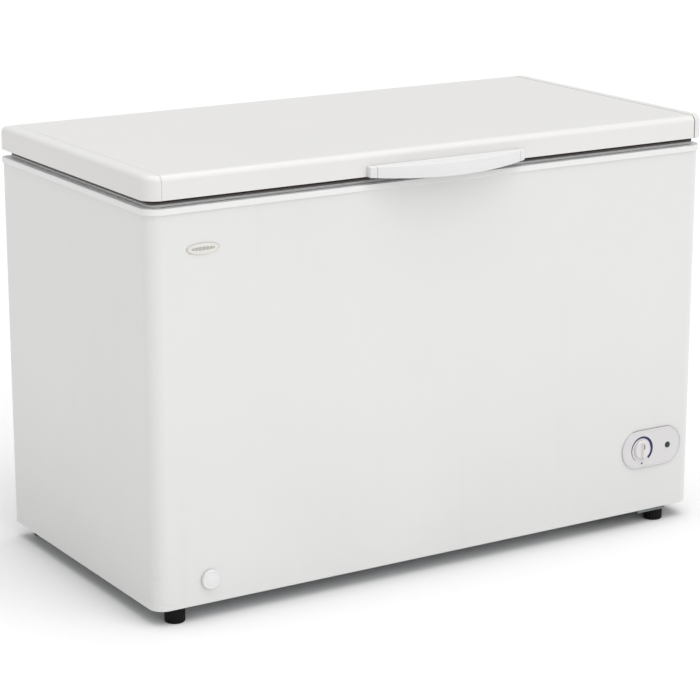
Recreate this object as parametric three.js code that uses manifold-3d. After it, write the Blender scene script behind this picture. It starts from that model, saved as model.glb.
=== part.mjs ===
// Chest freezer: an insulated steel cabinet on four levelling feet, with a spring-hinged foam lid,
// a hot-wall condenser, a wrapped evaporator and a machine bay under a step at the right-hand end.
// Units are millimetres. +X runs along the front to the right, +Y to the back and +Z up.
// The floor is z = 0. Parts are drawn about the cabinet's centre, then the whole assembly is moved
// along Y so that the origin lies under the middle of its bounding box.
import * as THREE from "three";
import { mergeVertices } from "three/addons/utils/BufferGeometryUtils.js";
import Module from "manifold-3d";

const wasm = await Module();
wasm.setup();

// ---------------------------------------------------------------- driving dimensions
const GAP = 0.3; // clearance between neighbouring solids
const MITRE = 0.25; // each mitred length stands this far out from the true diagonal
const WIDTH = 1220; // steel cabinet, outside
const DEPTH = 604;
const BASE_Z = 30; // lower edge of the steel cabinet
const SHELL_TOP = 760;
const CORNER = 28; // bend radius of the front vertical edges
const REAR_CORNER = 6; // and of the rear ones
const STEEL = 1.2;
const WALL = 62; // outside of the cabinet to the inside of the liner
const LINER = 1;
const LINER_CORNER = 30;
const FLOOR_Z = 92; // top of the liner's floor
const STEP_X = 315; // left face of the step over the machine bay
const STEP_Z = 307; // top of that step
const BAY = { x: 372, top: 250 }; // machine bay: left wall and ceiling of the foam around it

const TRIM = { overhang: 3, bottom: 753.5, top: 765, ledge: 757, thick: 3, inner: 46, lip: 65, hem: 742 };
const GASKET = { outer: 10, inner: 34, bulge: 4, magnet: 6 };
const LID = { bottom: 779.5, top: 823.5, overhang: 4, edge: 12, corner: 31, rear: 14, cap: 30 };
const DISH = { inset: 76, bottom: 763.5, corner: 30, wall: 2 }; // raised field on the lid's inner panel
const HANDLE = { length: 340, end: 12, reach: 45, top: 799, dip: 6.5, wall: 3.2 };
const HINGE = { x: 420, y: DEPTH / 2 + 18, z: 774, rear: 17, pin: 4 };
const FOOT = { left: -561, right: 534, y: 279, radius: 19, stud: 4 };
const PANEL = { x: 505, z: 160, length: 145, height: 78, thick: 3.2 };
const KNOB = { x: 481, radius: 19.5 };
const LED_X = 545;
const DRAIN = { x: -500, y: -190, z: 76, bore: 7, outer: 9 };
const BADGE = { x: -504, z: 687, length: 66, height: 21 };
const BASKET = { x0: 150, x1: 530, y: 222, top: 756, bottom: 556, wire: 3, pitch: 110 };
const COMPRESSOR = { x: 490, y: 140, radius: 70, bottom: 40, top: 196 };
const EVAPORATOR = { radius: 3.8, channel: 6.4, off: 4.3, bend: 28 };
const CONDENSER = { radius: 2.6, channel: 4.7, off: 3.6, bend: 24 };
const SUCTION = { x: 520, y: 268, radius: 4, top: 700 };

const halfX = WIDTH / 2;
const halfY = DEPTH / 2;
const lidX = halfX + LID.overhang;
const lidY = halfY + LID.overhang;
const quarter = Math.PI / 2;

// ---------------------------------------------------------------- materials
const finish = (color, roughness, metalness = 0) =>
  new THREE.MeshStandardMaterial({ color, roughness, metalness });
const whiteSteel = finish(0xe9e9e7, 0.35);
const whitePlastic = finish(0xefefed, 0.45);
const zinc = finish(0xb9bcbe, 0.45, 0.9);
const liner = finish(0xd9dcde, 0.4, 0.6);
const foam = finish(0xe6d9a8, 0.95);
const rubber = finish(0x161616, 0.8);
const greyVinyl = finish(0x7d7f80, 0.6);
const blackPaint = finish(0x1b1b1d, 0.4);
const copper = finish(0xb5693f, 0.35, 1);
const aluminium = finish(0xc3c6c8, 0.4, 1);
const darkPlastic = finish(0x2a2a2c, 0.6);
const greenLens = finish(0x0f5c3c, 0.2);
const champagne = finish(0xd8cfb8, 0.3, 0.6);

// ---------------------------------------------------------------- solids
// A closed three.js geometry as a solid that can be cut and joined.
function solid(geometry) {
  const bare = geometry.index ? geometry.toNonIndexed() : geometry.clone();
  bare.deleteAttribute("normal");
  bare.deleteAttribute("uv");
  const merged = mergeVertices(bare, 1e-4);
  return new wasm.Manifold(
    new wasm.Mesh({
      numProp: 3,
      vertProperties: merged.attributes.position.array,
      triVerts: new Uint32Array(merged.index.array),
    }),
  );
}

// A cut or joined solid as a geometry that three.js can draw.
function geometryOf(body) {
  const mesh = body.getMesh();
  const geometry = new THREE.BufferGeometry();
  geometry.setAttribute("position", new THREE.BufferAttribute(mesh.vertProperties, 3));
  geometry.setIndex(new THREE.BufferAttribute(mesh.triVerts, 1));
  const flat = geometry.toNonIndexed();
  flat.computeVertexNormals();
  return flat;
}

const join = (...bodies) => bodies.reduce((all, one) => all.add(one));
const cut = (body, ...tools) => tools.reduce((left, tool) => left.subtract(tool), body);

function box(x0, x1, y0, y1, z0, z1) {
  const g = new THREE.BoxGeometry(x1 - x0, y1 - y0, z1 - z0);
  return solid(g.translate((x0 + x1) / 2, (y0 + y1) / 2, (z0 + z1) / 2));
}

const extrude = (shape, depth, curveSegments) =>
  new THREE.ExtrudeGeometry(shape, { depth, curveSegments, bevelEnabled: false });

// A plan outline (x, y) as a slab from z0 to z1.
const slab = (shape, z0, z1, curveSegments = 2) =>
  solid(extrude(shape, z1 - z0, curveSegments).translate(0, 0, z0));

// A front outline (x, z) as a plate from y0 to y1.
const frontPlate = (shape, y0, y1, curveSegments = 4) =>
  solid(extrude(shape, y1 - y0, curveSegments).rotateX(quarter).translate(0, y1, 0));

// A side outline (y, z) as a plate from x0 to x1.
const sidePlate = (shape, x0, x1, curveSegments = 4) =>
  solid(extrude(shape, x1 - x0, curveSegments).rotateX(quarter).rotateZ(quarter).translate(x0, 0, 0));

// A profile of [radius, height] pairs turned about the Z axis.
function turned(profile, segments = 12) {
  const points = profile.map(([r, z]) => new THREE.Vector2(r, z));
  return solid(new THREE.LatheGeometry(points, segments).rotateX(quarter));
}

const alongY = (body) => body.rotate([90, 0, 0]); // +Z becomes -Y, out of the front
const alongX = (body) => body.rotate([0, 90, 0]); // +Z becomes +X

function rod(radius, z0, z1, segments = 12) {
  return turned([[0, z0], [radius, z0], [radius, z1], [0, z1]], segments);
}

// A rectangle with rounded corners; `far` is the radius of the two corners at y1.
function roundedRect(x0, x1, y0, y1, r, far = r) {
  const s = new THREE.Shape();
  s.moveTo(x0 + r, y0);
  s.lineTo(x1 - r, y0);
  s.absarc(x1 - r, y0 + r, r, -quarter, 0);
  s.lineTo(x1, y1 - far);
  s.absarc(x1 - far, y1 - far, far, 0, quarter);
  s.lineTo(x0 + far, y1);
  s.absarc(x0 + far, y1 - far, far, quarter, 2 * quarter);
  s.lineTo(x0, y0 + r);
  s.absarc(x0 + r, y0 + r, r, 2 * quarter, 3 * quarter);
  return s;
}

const circle = (x, y, r) => new THREE.Shape().absarc(x, y, r, 0, 4 * quarter);

function ellipse(x, y, rx, ry) {
  return new THREE.Shape().absellipse(x, y, rx, ry, 0, 4 * quarter);
}

// A rectangular plan about the cabinet's centre, inset from the cabinet's outside faces.
const inset = (u, r, far = r) => roundedRect(-halfX + u, halfX - u, -halfY + u, halfY - u, r, far);

// A ring between two insets, from z0 to z1. A plan is [inset, corner radius, rear corner radius].
const ring = (outer, inner, z0, z1, segments = 2) =>
  cut(slab(inset(...outer), z0, z1, segments), slab(inset(...inner), z0 - 1, z1 + 1, segments));

// A frame round the cabinet's opening is made of four lengths, mitred through their corners.
function mitred(frame, depth = 150) {
  const plans = {
    front: [[-halfX, -halfY], [halfX, -halfY], [halfX - depth, depth - halfY], [depth - halfX, depth - halfY]],
    right: [[halfX, -halfY], [halfX, halfY], [halfX - depth, halfY - depth], [halfX - depth, depth - halfY]],
    back: [[halfX, halfY], [-halfX, halfY], [depth - halfX, halfY - depth], [halfX - depth, halfY - depth]],
    left: [[-halfX, halfY], [-halfX, -halfY], [depth - halfX, depth - halfY], [depth - halfX, halfY - depth]],
  };
  return Object.entries(plans).map(([name, points]) => {
    const far = points.map(([x, y]) => new THREE.Vector2(x, y));
    const [a, b, c, d] = far;
    const out = new THREE.Vector2().addVectors(a, b).sub(c).sub(d).normalize();
    const nudge = out.clone().multiplyScalar(MITRE);
    const stretch = (p, inner) => p.clone().add(p.clone().sub(inner).multiplyScalar(0.1)).add(nudge);
    const shape = new THREE.Shape([stretch(a, d), stretch(b, c), c.add(nudge), d.add(nudge)]);
    return [name, frame.intersect(slab(shape, 0, 900))];
  });
}

// The steel cabinet's plan, shrunk by u: wide bends at the front and tight ones at the back.
const cabinetPlan = (u) => inset(u, CORNER - u, REAR_CORNER - u);

// ---------------------------------------------------------------- pipes
// A route whose points are used exactly as given, so that straight runs take one step.
class Route extends THREE.Curve {
  constructor(points) {
    super();
    this.points = points;
  }

  getPoint(t, target = new THREE.Vector3()) {
    const at = t * (this.points.length - 1);
    const i = Math.min(Math.floor(at + 1e-6), this.points.length - 2);
    return target.lerpVectors(this.points[i], this.points[i + 1], Math.max(0, at - i));
  }

  getPointAt(u, target) {
    return this.getPoint(u, target);
  }

  getTangentAt(u, target = new THREE.Vector3()) {
    const last = this.points.length - 1;
    const i = Math.round(u * last);
    const before = this.points[Math.max(i - 1, 0)];
    const here = this.points[i];
    const after = this.points[Math.min(i + 1, last)];
    const arriving = new THREE.Vector3().subVectors(here, before).normalize();
    const leaving = new THREE.Vector3().subVectors(after, here).normalize();
    return target.addVectors(arriving, leaving).normalize();
  }
}

// Corner points joined by straight runs, each rounded to the bend radius or to its own fourth value.
function bent(corners, radius, steps = 2) {
  const p = corners.map(([x, y, z]) => new THREE.Vector3(x, y, z));
  const route = [p[0]];
  for (let i = 1; i < p.length - 1; i += 1) {
    const a = new THREE.Vector3().subVectors(p[i - 1], p[i]);
    const b = new THREE.Vector3().subVectors(p[i + 1], p[i]);
    const reach = Math.min(corners[i][3] ?? radius, a.length() * 0.48, b.length() * 0.48);
    const start = p[i].clone().addScaledVector(a.normalize(), reach);
    const end = p[i].clone().addScaledVector(b.normalize(), reach);
    const curve = new THREE.QuadraticBezierCurve3(start, p[i], end);
    route.push(...curve.getPoints(steps));
  }
  route.push(p[p.length - 1]);
  return route;
}

// Half as many `sides` as the tube's section has faces.
function pipe(route, radius, sides = 3) {
  return solid(
    new THREE.ExtrudeGeometry(circle(0, 0, radius), {
      extrudePath: new Route(route),
      steps: route.length - 1,
      curveSegments: sides,
      bevelEnabled: false,
    }),
  );
}

// ---------------------------------------------------------------- the assembly
const freezer = new THREE.Group();
const assembly = new THREE.Group();
freezer.add(assembly);

function part(name, body, material, parent = assembly) {
  const mesh = new THREE.Mesh(geometryOf(body), material);
  mesh.name = name;
  parent.add(mesh);
  return mesh;
}

const sides = [["left", -1], ["right", 1]];
const feet = [
  ["front_left", FOOT.left, -FOOT.y],
  ["front_right", FOOT.right, -FOOT.y],
  ["rear_left", FOOT.left, FOOT.y],
  ["rear_right", FOOT.right, FOOT.y],
];

// ---------------------------------------------------------------- pipework routes
// The evaporator climbs round the liner: two turns round the deep well, then three above the step.
// Each turn rises along the back wall.
function evaporatorRoute() {
  const x = halfX - WALL + LINER + EVAPORATOR.off;
  const y = halfY - WALL + LINER + EVAPORATOR.off;
  const stepX = STEP_X + LINER + 14;
  const turns = [[stepX, 130, 12], [stepX, 215, 12], [x, 345], [x, 500], [x, 640]];
  const route = [[BAY.x + 6, 150, turns[0][1]], [stepX, 150, turns[0][1]]];
  turns.forEach(([right, z, bend], i) => {
    const next = turns[i + 1];
    route.push([right, -y, z, bend], [-x, -y, z], [-x, y, z]);
    if (next) route.push([next[0], y, next[1], next[2]]);
  });
  route.push([SUCTION.x - 40, y, SUCTION.top]);
  return bent(route, EVAPORATOR.bend);
}

// The condenser lies against the shell: passes along the right, front and left walls and back again.
function condenserRoute(foot) {
  const x = halfX - STEEL - CONDENSER.off;
  const y = -halfY + STEEL + CONDENSER.off;
  const levels = [300, 430, 560, 690];
  const turnY = 240;
  const route = [[x, 40, foot], [x, 40, levels[0]]];
  levels.forEach((z, i) => {
    const from = i % 2 ? -1 : 1;
    if (i) route.push([from * x, turnY, z]);
    route.push([from * x, y, z], [-from * x, y, z], [-from * x, turnY, z]);
  });
  route.push([x, 280, levels.at(-1)], [x, 280, foot]);
  return bent(route, CONDENSER.bend);
}

const suctionRoute = bent(
  [
    [SUCTION.x, COMPRESSOR.y + 10, COMPRESSOR.top + GAP],
    [SUCTION.x, COMPRESSOR.y + 10, 232],
    [SUCTION.x, SUCTION.y, 232],
    [SUCTION.x, SUCTION.y, SUCTION.top],
    [SUCTION.x, halfY - WALL + LINER + EVAPORATOR.off, SUCTION.top],
    [SUCTION.x - 39, halfY - WALL + LINER + EVAPORATOR.off, SUCTION.top],
  ],
  12,
);

const drainRoute = bent(
  [[DRAIN.x, DRAIN.y, FLOOR_Z + 2], [DRAIN.x, DRAIN.y, DRAIN.z], [DRAIN.x, -halfY, DRAIN.z]],
  12,
);

const channels = [
  pipe(evaporatorRoute(), EVAPORATOR.channel, 2),
  pipe(condenserRoute(BAY.top - 6), CONDENSER.channel, 2),
  pipe(suctionRoute, SUCTION.radius + 2.5, 2),
  pipe(drainRoute, DRAIN.outer + 2.5, 4),
];

// ---------------------------------------------------------------- cabinet
const panelHole = roundedRect(
  PANEL.x - PANEL.length / 2 + 6,
  PANEL.x + PANEL.length / 2 - 6,
  PANEL.z - PANEL.height / 2 + 6,
  PANEL.z + PANEL.height / 2 - 6,
  PANEL.height / 2 - 6.5,
);
const VENT = { y0: -160, y1: 20, z0: 66, z1: 196 }; // air opening in the right-hand side
const REAR = { x0: 384, x1: 550, z0: 52, z1: 236 }; // service opening in the back

const BACK = { half: halfX - 46 }; // the back panel's opening between the shell's rear flanges

function outerShell() {
  const wrap = cut(
    slab(cabinetPlan(0), BASE_Z, SHELL_TOP, 3),
    slab(cabinetPlan(STEEL), BASE_Z - 1, SHELL_TOP + 1, 3),
    box(-BACK.half, BACK.half, halfY - 4, halfY + 4, BASE_Z - 1, SHELL_TOP + 1),
  );
  return cut(
    wrap,
    frontPlate(panelHole, -halfY - 5, -halfY + 5),
    frontPlate(circle(DRAIN.x, DRAIN.z, DRAIN.outer + 1), -halfY - 5, -halfY + 5),
    box(halfX - 5, halfX + 5, VENT.y0 + 8, VENT.y1 - 8, VENT.z0 + 8, VENT.z1 - 8),
  );
}

function backPanel() {
  const edge = BACK.half - GAP;
  return cut(
    box(-edge, edge, halfY - STEEL, halfY, BASE_Z, SHELL_TOP),
    box(REAR.x0, REAR.x1, halfY - 5, halfY + 5, REAR.z0, REAR.z1),
  );
}

const footHoles = (z0, z1, r) =>
  feet.map(([, x, y]) => rod(r, z0, z1).translate([x, y, 0]));

function bottomPan() {
  const plan = slab(cabinetPlan(STEEL + GAP), BASE_Z, BASE_Z + STEEL);
  return cut(
    plan,
    box(BAY.x - 1, halfX, -halfY, halfY, 0, 60),
    ...footHoles(0, 60, FOOT.stud + 0.5),
  );
}

function cabinetFoam() {
  const skin = STEEL + GAP;
  const block = slab(cabinetPlan(skin), BASE_Z + STEEL + GAP, TRIM.bottom - 0.5);
  const wall = WALL - LINER - GAP;
  const cavity = slab(inset(wall, LINER_CORNER + LINER + GAP), FLOOR_Z - LINER - GAP, 900);
  const stepFoam = box(STEP_X + LINER + GAP, halfX, -halfY, halfY, 0, STEP_Z - LINER - GAP);
  const bay = box(BAY.x, halfX + 1, -halfY - 1, halfY + 1, 0, BAY.top);
  return cut(
    block,
    cavity.subtract(stepFoam),
    bay,
    ...channels,
    ...footHoles(0, 60, FOOT.stud + 1),
  );
}

function linerWalls() {
  const outer = WALL - LINER;
  const plan = [[outer, LINER_CORNER + LINER], [WALL, LINER_CORNER]];
  return ring(...plan, FLOOR_Z - LINER, TRIM.bottom).subtract(box(STEP_X - GAP, halfX, -halfY, halfY, 0, STEP_Z - LINER - GAP));
}

// The floor of the well, folded up and over the step in one sheet.
function linerFloor() {
  return cut(
    slab(inset(WALL + GAP, LINER_CORNER - GAP), FLOOR_Z - LINER, STEP_Z),
    box(-halfX, STEP_X, -halfY, halfY, FLOOR_Z, 500),
    box(STEP_X + LINER, halfX, -halfY, halfY, 0, STEP_Z - LINER),
    rod(DRAIN.outer + GAP, 0, 200).translate([DRAIN.x, DRAIN.y, 0]),
  );
}

// Sheet-steel walls of the machine bay, between the foam and the machinery.
function bayLiner() {
  const x = BAY.x + GAP;
  const z = BAY.top - GAP;
  const end = halfX - STEEL - GAP;
  const sheet = join(
    box(x, x + STEEL, -halfY + 3, halfY - 3, BASE_Z + 2, z),
    box(x, end, -halfY + 3, halfY - 3, z - STEEL, z),
  );
  const inside = slab(cabinetPlan(STEEL + GAP), 0, 400);
  return cut(sheet.intersect(inside), ...channels.slice(0, 3), condenserHoles);
}

const condenserHoles = join(
  ...[40, 280].map((y) => box(halfX - 14, halfX, y - 8, y + 8, BAY.top - 12, BAY.top + 3)),
);

// The moulded rim: a skirt over the shell, a flat sealing face, then a ledge that baskets hang on.
function topTrim() {
  const { overhang, bottom, top, ledge, thick, inner, lip, hem } = TRIM;
  const r = LINER_CORNER;
  const edge = [-overhang, CORNER + overhang, REAR_CORNER + overhang];
  return join(
    ring(edge, [-0.4, CORNER + 0.4, REAR_CORNER + 0.4], bottom, top - thick + 1, 3),
    ring([1 - overhang, CORNER + 2, REAR_CORNER + 2], [inner, r], top - thick, top, 3),
    ring(edge, [inner - 6, r], top - thick, top - 1, 3),
    ring([inner - thick, r], [inner, r], ledge - thick, top),
    ring([inner - thick, r], [lip, r - 3], ledge - thick, ledge),
    ring([lip - 2.5, r - 1], [lip, r - 3], hem, ledge),
  );
}

part("outer_shell", outerShell(), whiteSteel);
part("back_panel", backPanel(), zinc);
part("bottom_pan", bottomPan(), zinc);
part("machine_bay_liner", bayLiner(), zinc);
part("cabinet_foam", cabinetFoam(), foam);
mitred(linerWalls()).forEach(([name, body]) => part(`liner_${name}`, body, liner));
part("liner_floor", linerFloor(), liner);
mitred(topTrim()).forEach(([name, body]) => part(`trim_${name}`, body, whitePlastic));

// ---------------------------------------------------------------- refrigeration
function compressorBody() {
  const { radius: r, bottom, top } = COMPRESSOR;
  const seam = (bottom + top) / 2 - 6;
  const pot = turned(
    [
      [0, bottom + 6], [r * 0.6, bottom + 6], [r * 0.9, bottom + 16], [r - 3, bottom + 34],
      [r - 3, seam - 3], [r, seam - 3], [r, seam + 3], [r - 3, seam + 3],
      [r - 3, top - 34], [r * 0.88, top - 14], [r * 0.6, top - 3], [0, top],
    ],
    16,
  );
  const cradle = slab(roundedRect(-85, 85, -62, 62, 12), bottom, bottom + 8);
  const bolts = grommetPlaces.map(([x, y]) => rod(6.5, bottom - 2, bottom + 20, 8).translate([x, y, 0]));
  return cut(join(pot, cradle), ...bolts).translate([COMPRESSOR.x, COMPRESSOR.y, 0]);
}

const grommetPlaces = [[-74, -50], [74, -50], [-74, 50], [74, 50]];
const RAIL = { x0: 480, x1: 548, z: 23.5, plate: 27.5, top: 29.5 };

// The machine bay's base: a flat tray with a folded rail under it that carries the right-hand feet.
function compressorPlate() {
  const tray = box(BAY.x + 2, halfX - 5, -halfY + 12, halfY - 4, RAIL.plate, RAIL.top);
  const rail = box(RAIL.x0, RAIL.x1, -halfY + 3, halfY - 4, RAIL.z, RAIL.plate + 0.5);
  const keep = slab(cabinetPlan(3), 0, 60);
  return cut(join(tray, rail).intersect(keep), ...footHoles(0, 60, FOOT.stud + 0.5));
}

function grommet() {
  return turned([[0, 29.8], [11, 29.8], [11, 39.7], [6, 39.7], [6, 52], [0, 52]], 8);
}

part("compressor", compressorBody(), blackPaint);
part("compressor_plate", compressorPlate(), zinc);
grommetPlaces.forEach(([x, y], i) => {
  const mesh = part(`compressor_grommet_${i + 1}`, grommet(), rubber);
  mesh.position.set(COMPRESSOR.x + x, COMPRESSOR.y + y, 0);
});

const relayX = COMPRESSOR.x - COMPRESSOR.radius;
part("terminal_cover", box(relayX - 26, relayX - GAP, 112, 168, 90, 150), darkPlastic);

const DRIER = { x: 400, y: -60, z0: 96, z1: 186, radius: 10 };
function filterDrier() {
  const { radius: r, z0, z1 } = DRIER;
  return turned([[0, z0], [3, z0], [r, z0 + 10], [r, z1 - 10], [3, z1], [0, z1]], 8);
}
part("filter_drier", filterDrier().translate([DRIER.x, DRIER.y, 0]), copper);

part("evaporator_coil", pipe(evaporatorRoute(), EVAPORATOR.radius), aluminium);
part("suction_line", pipe(suctionRoute, SUCTION.radius), copper);

const condenserX = halfX - STEEL - CONDENSER.off;
const dischargeRoute = bent(
  [
    [COMPRESSOR.x + COMPRESSOR.radius - 2.5, COMPRESSOR.y - 24, 150],
    [condenserX - 20, COMPRESSOR.y - 24, 150],
    [condenserX - 20, 40, 150],
    [condenserX, 40, 170],
    [condenserX, 40, BAY.top + 4],
  ],
  10,
);
const liquidRoute = bent(
  [
    [condenserX, 280, BAY.top + 4],
    [condenserX, 280, 240],
    [DRIER.x, 280, 240],
    [DRIER.x, DRIER.y, 240],
    [DRIER.x, DRIER.y, DRIER.z1 + 0.5],
  ],
  8,
);
const capillaryRoute = bent(
  [
    [DRIER.x, DRIER.y, DRIER.z0 - 0.5],
    [DRIER.x, DRIER.y, 70],
    [DRIER.x - 8, DRIER.y, 62],
    [BAY.x + 14, 150, 62],
    [BAY.x + 14, 150, 130],
    [BAY.x + 6.5, 150, 130],
  ],
  6,
);
// The discharge line, the hot-wall coil and the liquid line are brazed into one run.
part(
  "condenser_coil",
  join(
    cut(pipe(dischargeRoute, CONDENSER.radius), compressorBody()),
    pipe(condenserRoute(BAY.top + 2), CONDENSER.radius),
    pipe(liquidRoute, CONDENSER.radius),
  ),
  copper,
);
part("capillary_tube", pipe(capillaryRoute, 1.2, 2), copper);

// ---------------------------------------------------------------- controls
const panelFace = -halfY - GAP;
const THERMOSTAT = { x0: KNOB.x - 27, x1: KNOB.x + 27, y0: -halfY + 10, y1: -halfY + 44, z0: 140, z1: 180 };

function controlPanel() {
  const { x, z, length, height, thick } = PANEL;
  const outline = (u) =>
    roundedRect(x - length / 2 + u, x + length / 2 - u, z - height / 2 + u, z + height / 2 - u,
      height / 2 - 0.5 - u);
  const plate = frontPlate(outline(0), panelFace - thick, panelFace);
  const skirt = frontPlate(outline(7), panelFace - 1, -halfY + 7);
  const hollow = frontPlate(outline(9.5), panelFace, -halfY + 8);
  return cut(
    join(plate, skirt.subtract(hollow)),
    frontPlate(circle(KNOB.x, z, 4), -halfY - 20, -halfY + 20),
    frontPlate(circle(LED_X, z, 5.4), -halfY - 20, -halfY + 20),
  );
}

part("control_panel", controlPanel(), whitePlastic);

const THERMO = THERMOSTAT;
part(
  "thermostat",
  join(
    box(THERMO.x0, THERMO.x1, THERMO.y0, THERMO.y1, THERMO.z0, THERMO.z1),
    box(THERMO.x0 - 8, THERMO.x1 + 8, THERMO.y0 - 1.5, THERMO.y0 + 0.5, THERMO.z0 + 6, THERMO.z1 - 6),
  ),
  zinc,
);

function ledLens() {
  const r = 5;
  return turned([[0, -12], [r, -12], [r, 3.4], [r * 0.75, 5.2], [0, 5.8]], 14);
}
const led = part("led_lens", alongY(ledLens()), greenLens);
led.position.set(LED_X, -halfY, PANEL.z);

const cableRoute = bent(
  [
    [THERMO.x0 - 0.5, -halfY + 30, 155],
    [THERMO.x0 - 24, -halfY + 30, 155],
    [THERMO.x0 - 24, 20, 120],
    [relayX - 13, 60, 110],
    [relayX - 13, 111.5, 110],
  ],
  14,
);
part("control_cable", pipe(cableRoute, 3.5), darkPlastic);

// The knob is moulded on the thermostat's shaft.
function knobBody() {
  const r = KNOB.radius;
  const disc = turned([[0, 0.4], [r, 0.4], [r, 1.4], [r - 2, 4.6], [0, 4.6]], 20);
  const grip = slab(roundedRect(-4, 4, -r + 2.5, r - 2.5, 3.5), 4, 12);
  const shaft = rod(3, panelFace - PANEL.thick - THERMO.y0 + 1.5 + GAP, 5);
  return join(disc, grip, shaft);
}
const knob = part("thermostat_knob", alongY(knobBody()), whitePlastic);
knob.position.set(KNOB.x, panelFace - PANEL.thick, PANEL.z);

// ---------------------------------------------------------------- vents, drain and badge
function sideGrille() {
  const { y0, y1, z0, z1 } = VENT;
  const slots = [];
  for (let z = z0 + 18; z < z1 - 16; z += 14) {
    slots.push(box(-10, 20, y0 + 16, y1 - 16, z, z + 6));
  }
  const face = sidePlate(roundedRect(y0, y1, z0, z1, 6), GAP, 3.5, 3);
  const skirt = box(-6, 1, y0 + 9, y1 - 9, z0 + 9, z1 - 9);
  const hollow = box(-8, GAP + 1.5, y0 + 11, y1 - 11, z0 + 11, z1 - 11);
  return cut(join(face, skirt.subtract(hollow)), ...slots).translate([halfX, 0, 0]);
}
part("side_grille", sideGrille(), whitePlastic);

function rearCover() {
  const { x0, x1, z0, z1 } = REAR;
  const plate = frontPlate(roundedRect(x0 - 14, x1 + 10, z0 - 14, z1 + 12, 6), halfY + GAP, halfY + 1.5);
  const pan = box(x0 + 4, x1 - 4, halfY - 8, halfY + 0.5, z0 + 4, z1 - 4);
  const slots = [];
  for (let z = z0 + 60; z < z1 - 20; z += 16) {
    slots.push(box(x0 + 20, x1 - 20, halfY - 20, halfY + 10, z, z + 5));
  }
  const hollow = box(x0 + 6, x1 - 6, halfY - 9, halfY - 0.6, z0 + 6, z1 - 6);
  return cut(join(plate, pan.subtract(hollow)), ...slots, cordHole);
}
const CORD = { x: 430, z: 80 };
const cordHole = frontPlate(circle(CORD.x, CORD.z, 8.9), halfY - 20, halfY + 10);
part("rear_cover", rearCover(), zinc);

// The gland that the mains lead would leave through.
function cordGrommet() {
  const bush = turned([[0, 12], [8, 12], [8, 0.3], [13, 0.3], [12, -6], [8, -20], [0, -20]].reverse());
  return alongY(cut(bush, rod(3.6, -30, 30)));
}
const grommetMesh = part("cord_grommet", cordGrommet(), rubber);
grommetMesh.position.set(CORD.x, halfY + 1.8, CORD.z);

function drainTube() {
  const hose = pipe(drainRoute, DRAIN.outer, 5);
  const flange = turned([[0, 0.3], [15, 0.3], [14, 1.8], [0, 1.8]]);
  const bore = bent(
    [[DRAIN.x, DRAIN.y, FLOOR_Z + 9], [DRAIN.x, DRAIN.y, DRAIN.z], [DRAIN.x, -halfY - 9, DRAIN.z]], 12);
  return cut(join(hose, flange.translate([DRAIN.x, DRAIN.y, FLOOR_Z])), pipe(bore, DRAIN.bore, 5));
}
part("drain_tube", drainTube(), whitePlastic);

const drainCap = turned([[0, -22], [5.6, -22], [5.6, 0.6], [18.2, 0.6], [18.2, 6], [16, 7.6], [0, 7.6]], 20);
const cap = part("drain_cap", alongY(drainCap), whitePlastic);
cap.position.set(DRAIN.x, -halfY, DRAIN.z);

const stopper = part(
  "drain_stopper",
  turned([[0, -10], [5.6, -10], [5.6, 0], [12, 0], [12, 3], [4, 5], [4, 12], [0, 12]], 12),
  rubber,
);
stopper.position.set(DRAIN.x, DRAIN.y, FLOOR_Z + 2.1);

const badgePlate = frontPlate(ellipse(BADGE.x, BADGE.z, BADGE.length / 2, BADGE.height / 2),
  -halfY - 1.8, -halfY - GAP, 10);
part("badge_plate", badgePlate, champagne);

// ---------------------------------------------------------------- feet
function foot(height) {
  const r = FOOT.radius;
  return turned(
    [[0, 0], [r - 4, 0], [r, 5], [r, height], [FOOT.stud, height], [FOOT.stud, height + 18],
      [0, height + 18]],
    12,
  );
}
feet.forEach(([name, x, y]) => {
  const ceiling = x < 0 ? BASE_Z : RAIL.z;
  const mesh = part(`foot_${name}`, foot(ceiling - GAP), rubber);
  mesh.position.set(x, y, 0);
});

// ---------------------------------------------------------------- basket
// Barred walls and floor; it hangs by four hooked ends on the trim's ledge and slides along it.
function basketBody() {
  const { x0, x1, y, top, bottom, wire: w, pitch } = BASKET;
  const rim = 12;
  const shell = cut(
    box(x0, x1, -y, y, bottom, top),
    box(x0 + w, x1 - w, -y + w, y - w, bottom + w, top + 1),
  );
  const windows = [];
  const bays = (from, to) => {
    const count = Math.round((to - from) / pitch);
    const step = (to - from) / count;
    return Array.from({ length: count }, (_, i) => [from + i * step + 4, from + (i + 1) * step - 4]);
  };
  for (const [a, b] of bays(x0, x1)) {
    windows.push(box(a, b, -y - 1, y + 1, bottom + w + 1, top - rim));
    for (const [c, d] of bays(-y, y)) windows.push(box(a, b, c, d, bottom - 1, bottom + w + 1));
  }
  for (const [c, d] of bays(-y, y)) windows.push(box(x0 - 1, x1 + 1, c, d, bottom + w + 1, top - rim));
  const reach = halfY - TRIM.inner - 3;
  const seat = TRIM.ledge + GAP;
  const hooks = [x0 + 30, x1 - 36].flatMap((x) => [
    box(x, x + 6, -reach, -y + w, seat, seat + 4),
    box(x, x + 6, y - w, reach, seat, seat + 4),
    box(x, x + 6, -y, -y + w, top - 1, seat + 4),
    box(x, x + 6, y - w, y, top - 1, seat + 4),
  ]);
  return join(cut(shell, ...windows), ...hooks);
}
part("basket", basketBody(), whitePlastic);

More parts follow.
